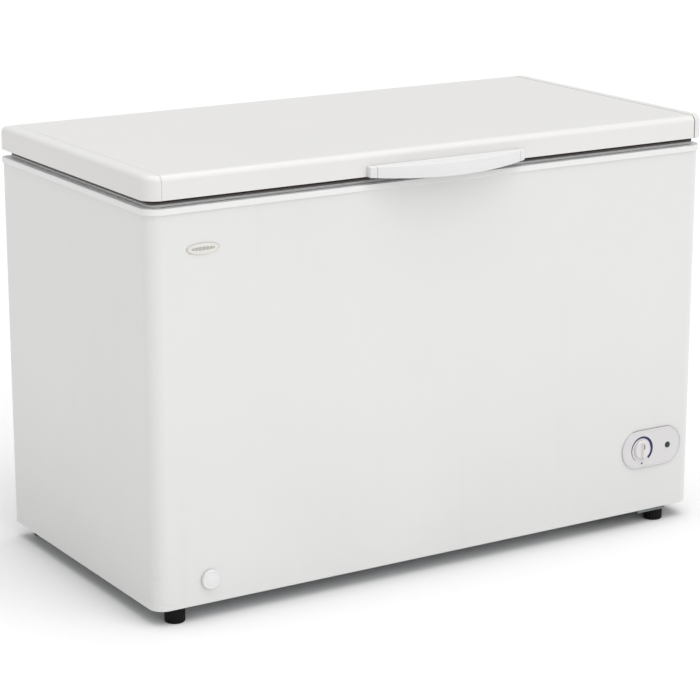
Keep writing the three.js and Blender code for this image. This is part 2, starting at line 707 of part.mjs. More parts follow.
// ---------------------------------------------------------------- lid
// The lid's outside form, shrunk by u on every face: rounded in plan and round over its top edge.
function lidForm(u) {
  const edge = LID.edge - u;
  const outline = roundedRect(-lidX + LID.edge, lidX - LID.edge, -lidY + LID.edge, lidY - LID.edge,
    LID.corner - LID.edge, LID.rear - LID.edge);
  const height = LID.top - u - (LID.bottom - 30);
  const form = new THREE.ExtrudeGeometry(outline, {
    depth: height - 2 * edge,
    bevelThickness: edge,
    bevelSize: edge,
    bevelSegments: 3,
    curveSegments: 2,
  });
  return solid(form.translate(0, 0, LID.bottom - 30 + edge));
}

const capX = lidX - LID.cap; // the seam between the steel top and an end cap

function lidPanel() {
  const skin = cut(lidForm(0), lidForm(STEEL));
  return skin.intersect(box(-capX, capX, -400, 400, LID.bottom, 900));
}

function lidEndCap(side) {
  const wall = 2.5;
  const end = side < 0 ? box(-700, -capX - GAP, -400, 400, LID.bottom, 900)
    : box(capX + GAP, 700, -400, 400, LID.bottom, 900);
  return cut(lidForm(0), lidForm(wall)).intersect(end);
}

const lidInset = (u) => inset(-LID.overhang + u, LID.corner - u, LID.rear - u);

function lidFoam() {
  const above = lidForm(2.9).intersect(box(-700, 700, -400, 400, LID.bottom + DISH.wall + GAP, 900));
  const field = slab(inset(DISH.inset + DISH.wall + GAP, DISH.corner - 2.3),
    DISH.bottom + DISH.wall + GAP, LID.bottom + 4);
  return join(above, field);
}

function lidLiner() {
  const flat = slab(lidInset(2.9), LID.bottom, LID.bottom + DISH.wall);
  const field = slab(inset(DISH.inset, DISH.corner), DISH.bottom, LID.bottom + 1);
  const hollow = slab(inset(DISH.inset + DISH.wall, DISH.corner - DISH.wall),
    DISH.bottom + DISH.wall, LID.bottom + 9);
  return cut(join(flat, field), hollow);
}

function gasket() {
  const { outer, inner, bulge, magnet } = GASKET;
  const bottom = TRIM.top + GAP;
  return join(
    ring([outer, 18, 12], [inner, 24], bottom, bottom + magnet),
    ring([outer + bulge, 16, 10], [inner - bulge, 22], bottom + magnet - 1, LID.bottom - GAP),
  );
}

// A bowed pull bar, hollow from below so that the fingers go up behind its front wall.
function handleBody() {
  const { length, end, reach, top, dip, wall } = HANDLE;
  const half = length / 2;
  const back = -lidY - GAP;
  const bow = (u) => {
    const s = new THREE.Shape();
    const tip = back - end + u;
    const crown = back + GAP - reach + u;
    const rise = tip - crown;
    const span = half - u;
    const radius = (span * span + rise * rise) / (2 * rise);
    const angle = Math.asin(span / radius);
    s.moveTo(span, back - u);
    s.lineTo(-span, back - u);
    s.absarc(0, crown + radius, radius, 3 * quarter - angle, 3 * quarter + angle);
    return s;
  };
  const ends = LID.bottom; // the lower edge is level with the lid at the ends and dips at the middle
  const sweep = new THREE.Shape();
  sweep.moveTo(half + 1, top);
  sweep.lineTo(-half - 1, top);
  sweep.lineTo(-half - 1, ends);
  sweep.quadraticCurveTo(0, ends - 2 * dip, half + 1, ends);
  const outside = slab(bow(0), ends - dip - 5, top + 1, 8);
  const pocket = slab(bow(wall), ends - 30, top - wall, 8);
  const body = cut(outside.intersect(frontPlate(sweep, -400, -200, 8)), pocket);
  const clear = box(-half - 5, half + 5, back - wall - 0.5, back + 5, ends - 30, ends);
  return cut(body, clear);
}

part("lid_panel", lidPanel(), whiteSteel);
sides.forEach(([name, side]) => part(`lid_end_cap_${name}`, lidEndCap(side), whitePlastic));
part("lid_foam", lidFoam(), foam);
part("lid_liner", lidLiner(), whitePlastic);
part("lid_gasket", gasket(), greyVinyl);
part("lid_handle", handleBody(), whitePlastic);

// ---------------------------------------------------------------- hinges, drawn about the pin's axis
const pinHole = alongX(rod(HINGE.pin + GAP, -60, 60));

function hingeBase() {
  const cheek = new THREE.Shape();
  cheek.moveTo(-17.7, -130);
  cheek.lineTo(-4, -130);
  cheek.lineTo(8, -30);
  cheek.lineTo(8, 0);
  cheek.absarc(0, 0, 8, 0, 2 * quarter);
  cheek.lineTo(-13, -22);
  cheek.lineTo(-17.7, -22);
  const plate = box(-28, 28, -17.7, -15.2, -130, -22);
  return cut(join(plate, sidePlate(cheek, -28, -25.5), sidePlate(cheek, 25.5, 28)), pinHole);
}

function hingeArm() {
  const lug = new THREE.Shape();
  lug.moveTo(-11.5, 26);
  lug.lineTo(-11.5, 7);
  lug.lineTo(-7.5, 0);
  lug.absarc(0, 0, 7.5, 2 * quarter, 4 * quarter);
  lug.lineTo(5, 8);
  const leaf = box(-22, 22, -13.7, -11.2, 7, 41);
  return cut(join(leaf, sidePlate(lug, -17.5, -15), sidePlate(lug, 15, 17.5)), pinHole);
}

function hingePin() {
  const { pin } = HINGE;
  return alongX(turned([[0, -30], [pin, -30], [pin, 28.4], [6, 28.4], [6, 31], [0, 31]]));
}

// A torsion spring wound on the pin, between the arm's lugs.
function hingeSpring() {
  const turns = 4.5;
  const steps = turns * 6;
  const points = Array.from({ length: steps + 1 }, (_, i) => {
    const angle = (i / 6) * 4 * quarter;
    return new THREE.Vector3(-11.5 + (23 * i) / steps, 6.4 * Math.cos(angle), 6.4 * Math.sin(angle));
  });
  return pipe(points, 1.2, 2);
}

function hingeCover() {
  const outside = box(-31.5, 31.5, -17.4, HINGE.rear, -134, -24);
  return outside.subtract(box(-28.5, 28.5, -30, HINGE.rear - 2.5, -131, -10));
}

sides.forEach(([name, side]) => {
  const hinge = new THREE.Group();
  hinge.position.set(side * HINGE.x, HINGE.y, HINGE.z);
  assembly.add(hinge);
  part(`hinge_base_${name}`, hingeBase(), zinc, hinge);
  part(`hinge_arm_${name}`, hingeArm(), zinc, hinge);
  part(`hinge_pin_${name}`, hingePin(), zinc, hinge);
  part(`hinge_spring_${name}`, hingeSpring(), zinc, hinge);
  part(`hinge_cover_${name}`, hingeCover(), whitePlastic, hinge);
});

// The handle is the foremost piece and the hinge covers are the rearmost.
const foremost = -lidY - HANDLE.reach;
const rearmost = HINGE.y + HINGE.rear;
assembly.position.y = -(foremost + rearmost) / 2;

export default freezer;
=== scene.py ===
"""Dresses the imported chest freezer: enamelled cabinet, foam lid, controls, drain, hinges and basket.

Every size is in metres. Pieces are drawn about the middle of the steel cabinet, with the floor at
z = 0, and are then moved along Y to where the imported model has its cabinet.
"""

import functools
import logging
import math
from collections.abc import Iterable, Mapping, Sequence
from dataclasses import dataclass
from enum import Enum

import bmesh
import bpy
from bmesh.types import BMEdge, BMesh, BMVert
from mathutils import Matrix, Vector


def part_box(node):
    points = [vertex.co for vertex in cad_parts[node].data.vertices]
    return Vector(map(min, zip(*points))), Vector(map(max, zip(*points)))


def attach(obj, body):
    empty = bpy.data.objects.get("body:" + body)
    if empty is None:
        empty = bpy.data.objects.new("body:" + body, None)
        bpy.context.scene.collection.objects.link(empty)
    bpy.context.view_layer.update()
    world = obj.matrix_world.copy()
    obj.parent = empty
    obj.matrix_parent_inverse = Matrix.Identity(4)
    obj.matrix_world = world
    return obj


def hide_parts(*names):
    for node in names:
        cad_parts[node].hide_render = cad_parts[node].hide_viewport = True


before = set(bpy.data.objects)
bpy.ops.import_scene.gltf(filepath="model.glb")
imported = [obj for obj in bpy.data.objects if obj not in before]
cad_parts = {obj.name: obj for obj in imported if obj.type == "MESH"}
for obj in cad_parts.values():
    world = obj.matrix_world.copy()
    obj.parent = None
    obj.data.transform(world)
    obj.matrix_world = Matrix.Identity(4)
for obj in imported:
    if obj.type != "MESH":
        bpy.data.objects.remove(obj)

LOG = logging.getLogger("chest_freezer")
Colour = tuple[float, float, float]
Point = tuple[float, float, float]


class Facing(Enum):
    """Which way a piece drawn lying face up is turned."""

    UP = Matrix.Identity(4)
    FRONT = Matrix.Rotation(math.pi / 2, 4, "X")
    BACK = Matrix.Rotation(math.pi, 4, "Z") @ Matrix.Rotation(math.pi / 2, 4, "X")
    ALONG_X = Matrix.Rotation(math.pi / 2, 4, "Y")


# ------------------------------------------------------------------ shader building


class Signal:
    """One output of a material's nodes, on which arithmetic adds Math nodes."""

    def __init__(self, tree: "Tree", socket: bpy.types.NodeSocket) -> None:
        """Wraps a socket.

        Args:
            tree: the material being built.
            socket: the output that carries the value.
        """
        self.tree = tree
        self.socket = socket

    def _math(self, operation: str, first: "Signal | float", second: "Signal | float") -> "Signal":
        """Adds one Math node and returns its result."""
        return self.tree.node("ShaderNodeMath", {"operation": operation}, {0: first, 1: second})

    def __add__(self, other: "Signal | float") -> "Signal":
        """Returns this plus the other value."""
        return self._math("ADD", self, other)

    def __rsub__(self, other: float) -> "Signal":
        """Returns a number less this."""
        return self._math("SUBTRACT", other, self)

    def __mul__(self, other: "Signal | float") -> "Signal":
        """Returns this times the other value."""
        return self._math("MULTIPLY", self, other)

    __radd__ = __add__
    __rmul__ = __mul__

    def above(self, limit: float) -> "Signal":
        """Returns 1 where this is over the limit, else 0."""
        return self._math("GREATER_THAN", self, limit)

    def spread(self, low: float, high: float, to_low: float = 0.0, to_high: float = 1.0) -> "Signal":
        """Returns this moved smoothly from one range to another, held at its ends.

        Args:
            low: the value that gives to_low.
            high: the value that gives to_high.
            to_low: the result at the low end.
            to_high: the result at the high end.

        Returns:
            The new value.
        """
        settings = {"interpolation_type": "SMOOTHSTEP"}
        values = {0: self, 1: low, 2: high, 3: to_low, 4: to_high}
        return self.tree.node("ShaderNodeMapRange", settings, values)


class Tree:
    """The nodes of one material, round a Principled shader."""

    def __init__(self, name: str) -> None:
        """Starts a material that holds only its shader and output.

        Args:
            name: the material's name.
        """
        self.material = bpy.data.materials.new(name)
        self.material.use_nodes = True
        self.material.node_tree.nodes.clear()
        surface = self.node("ShaderNodeBsdfPrincipled")
        self.shader = surface.socket.node
        self.node("ShaderNodeOutputMaterial", inputs={"Surface": surface})

    def node(
        self,
        kind: str,
        settings: Mapping[str, object] | None = None,
        inputs: Mapping[str | int, object] | None = None,
        output: str | int = 0,
    ) -> Signal | None:
        """Adds a node.

        Args:
            kind: the node's type.
            settings: its properties, set first.
            inputs: a value or a Signal for each named or numbered socket.
            output: the output that the result stands for.

        Returns:
            That output, or None for a node that has none.
        """
        made = self.material.node_tree.nodes.new(kind)
        for key, value in (settings or {}).items():
            setattr(made, key, value)
        self.feed(made, inputs or {})
        return Signal(self, made.outputs[output]) if made.outputs else None

    def feed(self, node: bpy.types.Node, inputs: Mapping[str | int, object]) -> None:
        """Sets or links a node's inputs.

        Args:
            node: the node.
            inputs: a value or a Signal for each named or numbered socket.
        """
        for key, value in inputs.items():
            if isinstance(value, Signal):
                self.material.node_tree.links.new(value.socket, node.inputs[key])
            else:
                node.inputs[key].default_value = value

    def place(self, stretch: Point = (1.0, 1.0, 1.0)) -> Signal:
        """Returns Object coordinates.

        Args:
            stretch: how much finer the pattern is along each axis.

        Returns:
            The coordinates.
        """
        where = self.node("ShaderNodeTexCoord", output="Object")
        return self.node("ShaderNodeMapping", inputs={"Vector": where, "Scale": stretch})

    def axis(self, name: str) -> Signal:
        """Returns one Object coordinate, in metres."""
        where = self.node("ShaderNodeTexCoord", output="Object")
        return self.node("ShaderNodeSeparateXYZ", inputs={0: where}, output=name)

    def noise(self, where: Signal, scale: float, detail: float = 3.0, roughness: float = 0.5) -> Signal:
        """Returns soft cloudy noise from 0 to 1.

        Args:
            where: the coordinates.
            scale: cells to the metre.
            detail: how many finer layers it holds.
            roughness: how strong those layers are.

        Returns:
            The noise.
        """
        values = {"Vector": where, "Scale": scale, "Detail": detail, "Roughness": roughness}
        return self.node("ShaderNodeTexNoise", inputs=values)

    def cells(self, where: Signal, scale: float, output: str = "Distance", feature: str = "F1") -> Signal:
        """Returns a cell pattern.

        Args:
            where: the coordinates.
            scale: cells to the metre.
            output: Distance or Color.
            feature: which distance is measured.

        Returns:
            The pattern.
        """
        settings = {"feature": feature}
        return self.node("ShaderNodeTexVoronoi", settings, {"Vector": where, "Scale": scale}, output)

    def mixed(self, amount: Signal | float, first: "Signal | Colour", second: "Signal | Colour") -> Signal:
        """Returns a colour between two others.

        Args:
            amount: 0 for the first colour, 1 for the second.
            first: a colour.
            second: the other colour.

        Returns:
            The mixed colour.
        """
        pair = [c if isinstance(c, Signal) else (*c, 1.0) for c in (first, second)]
        return self.node(
            "ShaderNodeMix", {"data_type": "RGBA"}, {0: amount, 6: pair[0], 7: pair[1]}, output=2
        )

    def relief(self, height: Signal, depth: float, strength: float = 1.0) -> Signal:
        """Returns a normal raised by a height pattern.

        Args:
            height: the pattern, from 0 to 1.
            depth: its full height in metres.
            strength: how far the normal leans.

        Returns:
            The normal.
        """
        values = {"Height": height, "Distance": depth, "Strength": strength}
        return self.node("ShaderNodeBump", inputs=values)


def linear(red: int, green: int, blue: int) -> Colour:
    """Returns a display colour, given from 0 to 255, as linear light."""
    levels = (red / 255, green / 255, blue / 255)
    return tuple((c / 12.92 if c <= 0.04045 else ((c + 0.055) / 1.055) ** 2.4) for c in levels)


def shaded(colour: Colour, by: float) -> Colour:
    """Returns a colour made darker, or lighter when the amount is over 1."""
    return tuple(min(1.0, c * by) for c in colour)


# ------------------------------------------------------------------ finishes


@dataclass(frozen=True)
class Finish:
    """A surface with a slightly uneven colour, gloss and fine grain.

    Attributes:
        name: the material's name.
        colour: its linear colour.
        roughness: its mean roughness.
        metallic: 0 for paint and plastic, 1 for bare metal.
        coat: the strength of a clear coat.
        mottle: how much darker its darkest clouds are.
        cloud: clouds to the metre.
        grain: grains to the metre.
        depth: the height of the grain in metres.
        shine: the strength of its surface reflection, 0.5 for most plastics.
    """

    name: str
    colour: Colour
    roughness: float = 0.4
    metallic: float = 0.0
    coat: float = 0.0
    mottle: float = 0.04
    cloud: float = 5.0
    grain: float = 700.0
    depth: float = 0.00002
    shine: float = 0.5

    def material(self) -> bpy.types.Material:
        """Returns the finish as a new material."""
        tree = Tree(self.name)
        where = tree.place()
        clouds = tree.noise(where, self.cloud, 5.0, 0.55)
        fine = tree.noise(where, self.grain, 2.0)
        tree.feed(
            tree.shader,
            {
                "Base Color": self.colouring(tree, clouds),
                "Roughness": self.roughness - 0.05 + clouds * 0.06 + fine * 0.05,
                "Metallic": self.metallic,
                "Coat Weight": self.coat,
                "Specular IOR Level": self.shine,
                "Normal": self.normal(tree, fine),
            },
        )
        self.extras(tree)
        return tree.material

    def colouring(self, tree: Tree, clouds: Signal) -> Signal:
        """Returns the colour over the surface."""
        return tree.mixed(clouds.spread(0.3, 0.75), self.colour, shaded(self.colour, 1.0 - self.mottle))

    def normal(self, tree: Tree, fine: Signal) -> Signal:
        """Returns the normal, raised by the fine grain."""
        return tree.relief(fine, self.depth)

    def extras(self, tree: Tree) -> None:
        """Sets what this finish alone needs."""


@dataclass(frozen=True)
class Enamel(Finish):
    """Glossy oven-baked paint on sheet steel: faint orange peel, scuffs from handling low down, and grime
    near the floor that also serves as painted shade, darker towards the floor.

    Attributes:
        marks_and_shade: the greatest strength of the scuffs, and of the grime and painted shade near the
            floor.
        low: the height below which the scuffs gather.
        corner: the x at which they are strongest.
    """

    marks_and_shade: float = 0.0
    low: float = 0.30
    corner: float = -0.58

    def colouring(self, tree: Tree, clouds: Signal) -> Signal:
        """Returns the paint's colour with its scuffs, and grime near the floor that is also painted shade,
        darker towards the floor.
        """
        plain = super().colouring(tree, clouds)
        if not self.marks_and_shade:
            return plain
        height = tree.axis("Z")
        across = tree.axis("X")
        near = across.spread(self.corner, self.corner + 0.16, 1.0, 0.0)
        scrapes = tree.noise(tree.place((9.0, 9.0, 190.0)), 2.2, 3.0, 0.55).spread(0.66, 0.76)
        scuffs = scrapes * near * height.spread(self.low * 0.35, self.low, 1.0, 0.0)
        # Darker towards the floor: partly grime, partly painted shade where less light reaches the lower
        # cabinet.
        dust_and_shade = height.spread(0.03, 0.45, 1.0, 0.0) * tree.noise(tree.place(), 3.0, 5.0, 0.65)
        streaks = tree.noise(tree.place((30.0, 30.0, 1.2)), 1.0, 2.0).spread(0.55, 0.8)
        dirt_and_shade = scuffs * self.marks_and_shade + dust_and_shade * (self.marks_and_shade * 0.5) + streaks * (self.marks_and_shade * 0.08)
        # The grey mixed in carries the scuffs, the streaks and the painted shade near the floor.
        return tree.mixed(dirt_and_shade, plain, linear(142, 140, 136))

    def normal(self, tree: Tree, fine: Signal) -> Signal:
        """Returns the normal with the paint's long, low orange peel."""
        peel = tree.noise(tree.place(), self.grain * 0.35, 1.0)
        return tree.relief(peel * 0.8 + fine * 0.2, self.depth)


@dataclass(frozen=True)
class Galvanised(Finish):
    """Zinc-coated sheet, with the flat crystals that hot dipping leaves."""

    def colouring(self, tree: Tree, clouds: Signal) -> Signal:
        """Returns zinc grey in faintly different crystals."""
        crystal = tree.cells(tree.place(), self.cloud, "Color")
        tone = tree.node("ShaderNodeRGBToBW", inputs={0: crystal})
        return tree.mixed(tone * 0.6 + clouds * 0.4, self.colour, shaded(self.colour, 1.0 - self.mottle))


@dataclass(frozen=True)
class Stucco(Finish):
    """Aluminium sheet rolled with a pebbled pattern."""

    def normal(self, tree: Tree, fine: Signal) -> Signal:
        """Returns the normal of close round pebbles."""
        pebbles = tree.cells(tree.place(), self.grain, feature="SMOOTH_F1")
        return tree.relief(1.0 - pebbles + fine * 0.1, self.depth)


@dataclass(frozen=True)
class Foam(Finish):
    """Cut rigid foam, full of fine open bubbles."""

    def normal(self, tree: Tree, fine: Signal) -> Signal:
        """Returns the normal of the bubbles."""
        return tree.relief(tree.cells(tree.place(), self.grain), self.depth)


@dataclass(frozen=True)
class VinylWithPaintedShadow(Finish):
    """Extruded ribbed vinyl; above a height its colour is painted shadow, the shade under the lid's edge.

    Attributes:
        painted_shadow: the painted shadow colour above that height.
        meet: the height in metres where the painted shadow begins.
        line: ribs to the metre of height.
    """

    painted_shadow: Colour = (0.05, 0.045, 0.045)
    meet: float = 0.7703
    line: float = 0.0

    def colouring(self, tree: Tree, clouds: Signal) -> Signal:
        """Returns the vinyl's ribbed colour, giving way to painted shadow above the height where the lid's
        shade begins.
        """
        height = tree.axis("Z")
        ribs = tree.node("ShaderNodeMath", {"operation": "SINE"}, {0: height * self.line})
        lower = tree.mixed(ribs.spread(-0.2, 0.9), shaded(self.colour, 0.72), self.colour)
        dusted = tree.mixed(clouds * self.mottle, lower, shaded(self.colour, 1.3))
        return tree.mixed(height.above(self.meet), dusted, self.painted_shadow)


@dataclass(frozen=True)
class Lens(Finish):
    """Deep translucent colour under a clear moulded surface."""

    def extras(self, tree: Tree) -> None:
        """Lets a little light through."""
        tree.feed(tree.shader, {"Transmission Weight": 0.05, "IOR": 1.49})


@dataclass(frozen=True)
class Streaked(Finish):
    """Drawn tube or brushed foil, with fine streaks along one axis.

    Attributes:
        along: how fine the streaks are on each axis.
    """

    along: Point = (8.0, 220.0, 220.0)

    def normal(self, tree: Tree, fine: Signal) -> Signal:
        """Returns the normal of the streaks."""
        return tree.relief(tree.noise(tree.place(self.along), 4.0, 3.0), self.depth)


# The cabinet's paint: scuffs low down, and painted shade that darkens it towards the floor.
ENAMEL = Enamel(
    "white_enamel", linear(219, 219, 218), 0.30,
    coat=0.2, mottle=0.02, cloud=2.4, grain=420.0, depth=0.00003, marks_and_shade=0.30,
)
LID_ENAMEL = Enamel(
    "lid_enamel", linear(221, 220, 218), 0.30, coat=0.2, mottle=0.02, cloud=2.4, grain=420.0, depth=0.00003,
)
CAP_SKIN = Finish(
    "cap_moulding", linear(220, 219, 217), 0.34, mottle=0.015, cloud=9.0, grain=1500.0, depth=0.00002,
)
MOULDING = Finish(
    "white_moulding", linear(222, 222, 222), 0.36, mottle=0.018, cloud=9.0, grain=1500.0, depth=0.00002,
)
RIM = Finish(
    "rim_moulding", linear(226, 226, 225), 0.34, mottle=0.015, cloud=6.0, grain=1400.0, depth=0.00002,
)
INNER = Finish(
    "lid_inner_moulding", linear(224, 224, 223), 0.42, mottle=0.02, cloud=7.0, grain=900.0, depth=0.00004,
)
PANEL_SKIN = Finish(
    "panel_moulding", linear(209, 207, 208), 0.42, mottle=0.015, cloud=20.0, grain=2600.0, depth=0.00003,
)
KNOB_SKIN = Finish(
    "knob_moulding", linear(218, 215, 215), 0.34, mottle=0.02, cloud=40.0, grain=2600.0, depth=0.00002,
)
ZINC = Galvanised("galvanised_sheet", linear(176, 180, 182), 0.42, metallic=0.85, mottle=0.22, cloud=70.0)
DULL_ZINC = Galvanised("dull_zinc_sheet", linear(128, 134, 132), 0.5, metallic=0.7, mottle=0.25, cloud=60.0)
PLATED = Galvanised("zinc_plate", linear(190, 190, 186), 0.34, metallic=0.9, mottle=0.12, cloud=260.0)
STUCCO = Stucco(
    "pebbled_liner", linear(226, 228, 229), 0.36,
    metallic=0.35, mottle=0.03, cloud=3.0, grain=260.0, depth=0.0006,
)
FOAM = Foam("rigid_foam", linear(226, 208, 158), 0.95, mottle=0.12, cloud=30.0, grain=900.0, depth=0.0006)
RUBBER = Finish(
    "black_rubber", linear(9, 8, 7), 0.60, mottle=0.25, cloud=60.0, grain=1800.0, depth=0.00006, shine=0.18,
)
# The seal's dark band above the meeting height is painted shadow from the lid's overhang.
VINYL = VinylWithPaintedShadow(
    "seal_vinyl", linear(212, 212, 213), 0.55,
    mottle=0.12, cloud=20.0, painted_shadow=linear(78, 70, 70), line=2600.0,
)
ENGINE = Finish(
    "engine_paint", linear(30, 30, 32), 0.32, coat=0.4, mottle=0.2, cloud=20.0, grain=500.0, depth=0.00006,
)
COPPER = Streaked("copper_tube", linear(196, 122, 84), 0.32, metallic=1.0, mottle=0.3, cloud=40.0)
DRAWN = Streaked("aluminium_tube", linear(196, 199, 201), 0.36, metallic=1.0, mottle=0.15, cloud=30.0)
FOIL = Streaked(
    "champagne_foil", linear(214, 208, 194), 0.30,
    metallic=0.55, mottle=0.08, cloud=60.0, along=(40.0, 40.0, 900.0),
)
BADGE_FIELD = Finish("badge_field", linear(220, 219, 215), 0.34, mottle=0.05, cloud=90.0, grain=2500.0)
# Dark grey for pieces that stand for the shade in narrow gaps: painted shadow.
SEAM_SHADOW = Finish("seam_shadow", linear(112, 110, 108), 0.7, mottle=0.3, cloud=30.0, grain=900.0, depth=0.00004)
DEVICE = Finish(
    "badge_device", linear(150, 142, 130), 0.36, metallic=0.4, mottle=0.25, cloud=400.0, grain=2500.0,
)
BLACK = Finish(
    "black_moulding", linear(38, 38, 40), 0.55, mottle=0.2, cloud=50.0, grain=1600.0, depth=0.00005,
)
INK = Finish("navy_print", linear(12, 15, 84), 0.5, mottle=0.15, cloud=160.0, grain=3000.0, depth=0.00001)
MARK = Finish("amber_mark", linear(126, 58, 24), 0.45, mottle=0.2, cloud=300.0, grain=3000.0, depth=0.00001)
GREEN = Lens("green_lens", linear(6, 58, 40), 0.28, mottle=0.25, cloud=220.0, grain=1200.0)
WIRE = Finish("coated_wire", linear(234, 234, 232), 0.35, coat=0.2, mottle=0.05, cloud=25.0, grain=1200.0)


@functools.cache
def material_of(finish: Finish) -> bpy.types.Material:
    """Returns the one material made for a finish."""
    return finish.material()


# ------------------------------------------------------------------ mesh building


@dataclass(frozen=True)
class Plan:
    """A rectangle about the origin with rounded corners, wider at the front pair than at the rear.

    Attributes:
        half_x: half its length.
        half_y: half its depth.
        front: the radius of the corners at low y.
        rear: the radius of the corners at high y.
    """

    half_x: float
    half_y: float
    front: float
    rear: float

    def grown(self, by: float) -> "Plan":
        """Returns the plan moved outwards, or inwards when the amount is negative."""
        front, rear = (max(0.0004, r + by) for r in (self.front, self.rear))
        return Plan(self.half_x + by, self.half_y + by, front, rear)

    def outline(self, bm: BMesh, z: float, segments: int) -> list[BMEdge]:
        """Draws the plan as one closed loop.

        Args:
            bm: the empty mesh to draw in.
            z: the loop's height.
            segments: steps round each corner.

        Returns:
            The loop's edges.
        """
        signs = ((-1, -1), (1, -1), (1, 1), (-1, 1))
        verts = [bm.verts.new((sx * self.half_x, sy * self.half_y, z)) for sx, sy in signs]
        bm.faces.new(verts)
        for pair, radius in ((verts[:2], self.front), (verts[2:], self.rear)):
            bmesh.ops.bevel(
                bm, geom=pair, offset=radius, segments=segments, profile=0.5, affect="VERTICES", material=-1
            )
        bmesh.ops.delete(bm, geom=list(bm.faces), context="FACES_ONLY")
        return list(bm.edges)

    def moved(self, point: Vector, target: "Plan", z: float) -> Vector:
        """Returns where a point of this outline lies on another plan's outline.

        Args:
            point: a point on this plan's outline.
            target: the other plan.
            z: the new height.

        Returns:
            The matching point.
        """
        sx, sy = math.copysign(1, point.x), math.copysign(1, point.y)
        here, there = (p.front if sy < 0 else p.rear for p in (self, target))
        centre = Vector((sx * (self.half_x - here), sy * (self.half_y - here)))
        goal = Vector((sx * (target.half_x - there), sy * (target.half_y - there)))
        spot = goal + (point.xy - centre) * (there / here)
        return Vector((spot.x, spot.y, z))


def swept(levels: Sequence[tuple[Plan, float]], segments: int = 10, closed: bool = True) -> BMesh:
    """Joins rings of changing plan and height into one surface.

    Args:
        levels: each ring's plan and height, in order.
        segments: steps round each corner.
        closed: True joins the last ring to the first; False caps both.

    Returns:
        The mesh.
    """
    bm = bmesh.new()
    plan, z = levels[0]
    first = edges = plan.outline(bm, z, segments)
    for target, height in levels[1:]:
        made = bmesh.ops.extrude_edge_only(bm, edges=edges)["geom"]
        verts = {g for g in made if isinstance(g, BMVert)}
        edges = [g for g in made if isinstance(g, BMEdge) and set(g.verts) <= verts]
        for vert in verts:
            vert.co = plan.moved(vert.co, target, height)
        plan = target
    if closed:
        bmesh.ops.bridge_loops(bm, edges=first + edges)
    else:
        bmesh.ops.contextual_create(bm, geom=first)
        bmesh.ops.contextual_create(bm, geom=edges)
    bmesh.ops.recalc_face_normals(bm, faces=bm.faces)
    return bm


def turned(profile: Sequence[tuple[float, float]], steps: int = 32) -> BMesh:
    """Turns a profile about the Z axis.

    Args:
        profile: pairs of radius and height.
        steps: faces round the axis.

    Returns:
        The mesh.
    """
    bm = bmesh.new()
    verts = [bm.verts.new((radius, 0.0, z)) for radius, z in profile]
    edges = [bm.edges.new(pair) for pair in zip(verts, verts[1:])]
    bmesh.ops.spin(
        bm, geom=verts + edges, cent=(0, 0, 0), axis=(0, 0, 1), angle=math.tau, steps=steps, use_merge=True
    )
    bmesh.ops.remove_doubles(bm, verts=bm.verts, dist=1e-6)
    bmesh.ops.recalc_face_normals(bm, faces=bm.faces)
    return bm


def block(low: Point, high: Point, bevel: float = 0.0, segments: int = 2) -> BMesh:
    """Makes a box between two corners, with its edges rounded.

    Args:
        low: the lowest corner.
        high: the highest corner.
        bevel: the radius of its edges.
        segments: steps round each edge.

    Returns:
        The mesh.
    """
    bm = bmesh.new()
    bmesh.ops.create_cube(bm, size=1.0)
    size = Vector(high) - Vector(low)
    bmesh.ops.scale(bm, verts=bm.verts, vec=size)
    bmesh.ops.translate(bm, verts=bm.verts, vec=(Vector(low) + Vector(high)) / 2)
    if bevel:
        bmesh.ops.bevel(
            bm, geom=list(bm.edges), offset=bevel, segments=segments, profile=0.5, affect="EDGES", material=-1
        )
    return bm


def posed(bm: BMesh, place: Point, facing: Facing = Facing.UP) -> BMesh:
    """Turns a mesh about the origin, then moves it.

    Args:
        bm: the mesh.
        place: where its origin goes.
        facing: the way it is turned.

    Returns:
        The same mesh.
    """
    bmesh.ops.transform(bm, matrix=Matrix.Translation(place) @ facing.value, verts=bm.verts)
    return bm


def together(*parts: BMesh) -> BMesh:
    """Gathers several meshes into the first."""
    whole = parts[0]
    for part in parts[1:]:
        mesh = bpy.data.meshes.new("part")
        part.to_mesh(mesh)
        part.free()
        whole.from_mesh(mesh)
        bpy.data.meshes.remove(mesh)
    return whole


def loose(bm: BMesh) -> bpy.types.Object:
    """Returns a mesh as a short-lived object, and frees the mesh."""
    data = bpy.data.meshes.new("loose")
    bm.to_mesh(data)
    bm.free()
    thing = bpy.data.objects.new("loose", data)
    bpy.context.scene.collection.objects.link(thing)
    return thing


def drop(thing: bpy.types.Object) -> None:
    """Removes a short-lived object and its data."""
    data = thing.data
    bpy.data.objects.remove(thing)
    store = bpy.data.curves if isinstance(data, bpy.types.Curve) else bpy.data.meshes
    store.remove(data)


def evaluated(thing: bpy.types.Object) -> BMesh:
    """Returns an object's final surface as a mesh."""
    graph = bpy.context.evaluated_depsgraph_get()
    graph.update()
    data = bpy.data.meshes.new_from_object(thing.evaluated_get(graph))
    bm = bmesh.new()
    bm.from_mesh(data)
    bpy.data.meshes.remove(data)
    return bm


def carved(bm: BMesh, cutters: Iterable[BMesh]) -> BMesh:
    """Cuts other meshes out of a mesh.

    Args:
        bm: the closed mesh that is cut.
        cutters: the closed meshes to take away.

    Returns:
        What is left.
    """
    base = loose(bm)
    tools = [loose(cutter) for cutter in cutters]
    for tool in tools:
        cut = base.modifiers.new("cut", "BOOLEAN")
        cut.operation = "DIFFERENCE"
        cut.solver = "EXACT"
        cut.object = tool
    left = evaluated(base)
    for thing in (base, *tools):
        drop(thing)
    return left


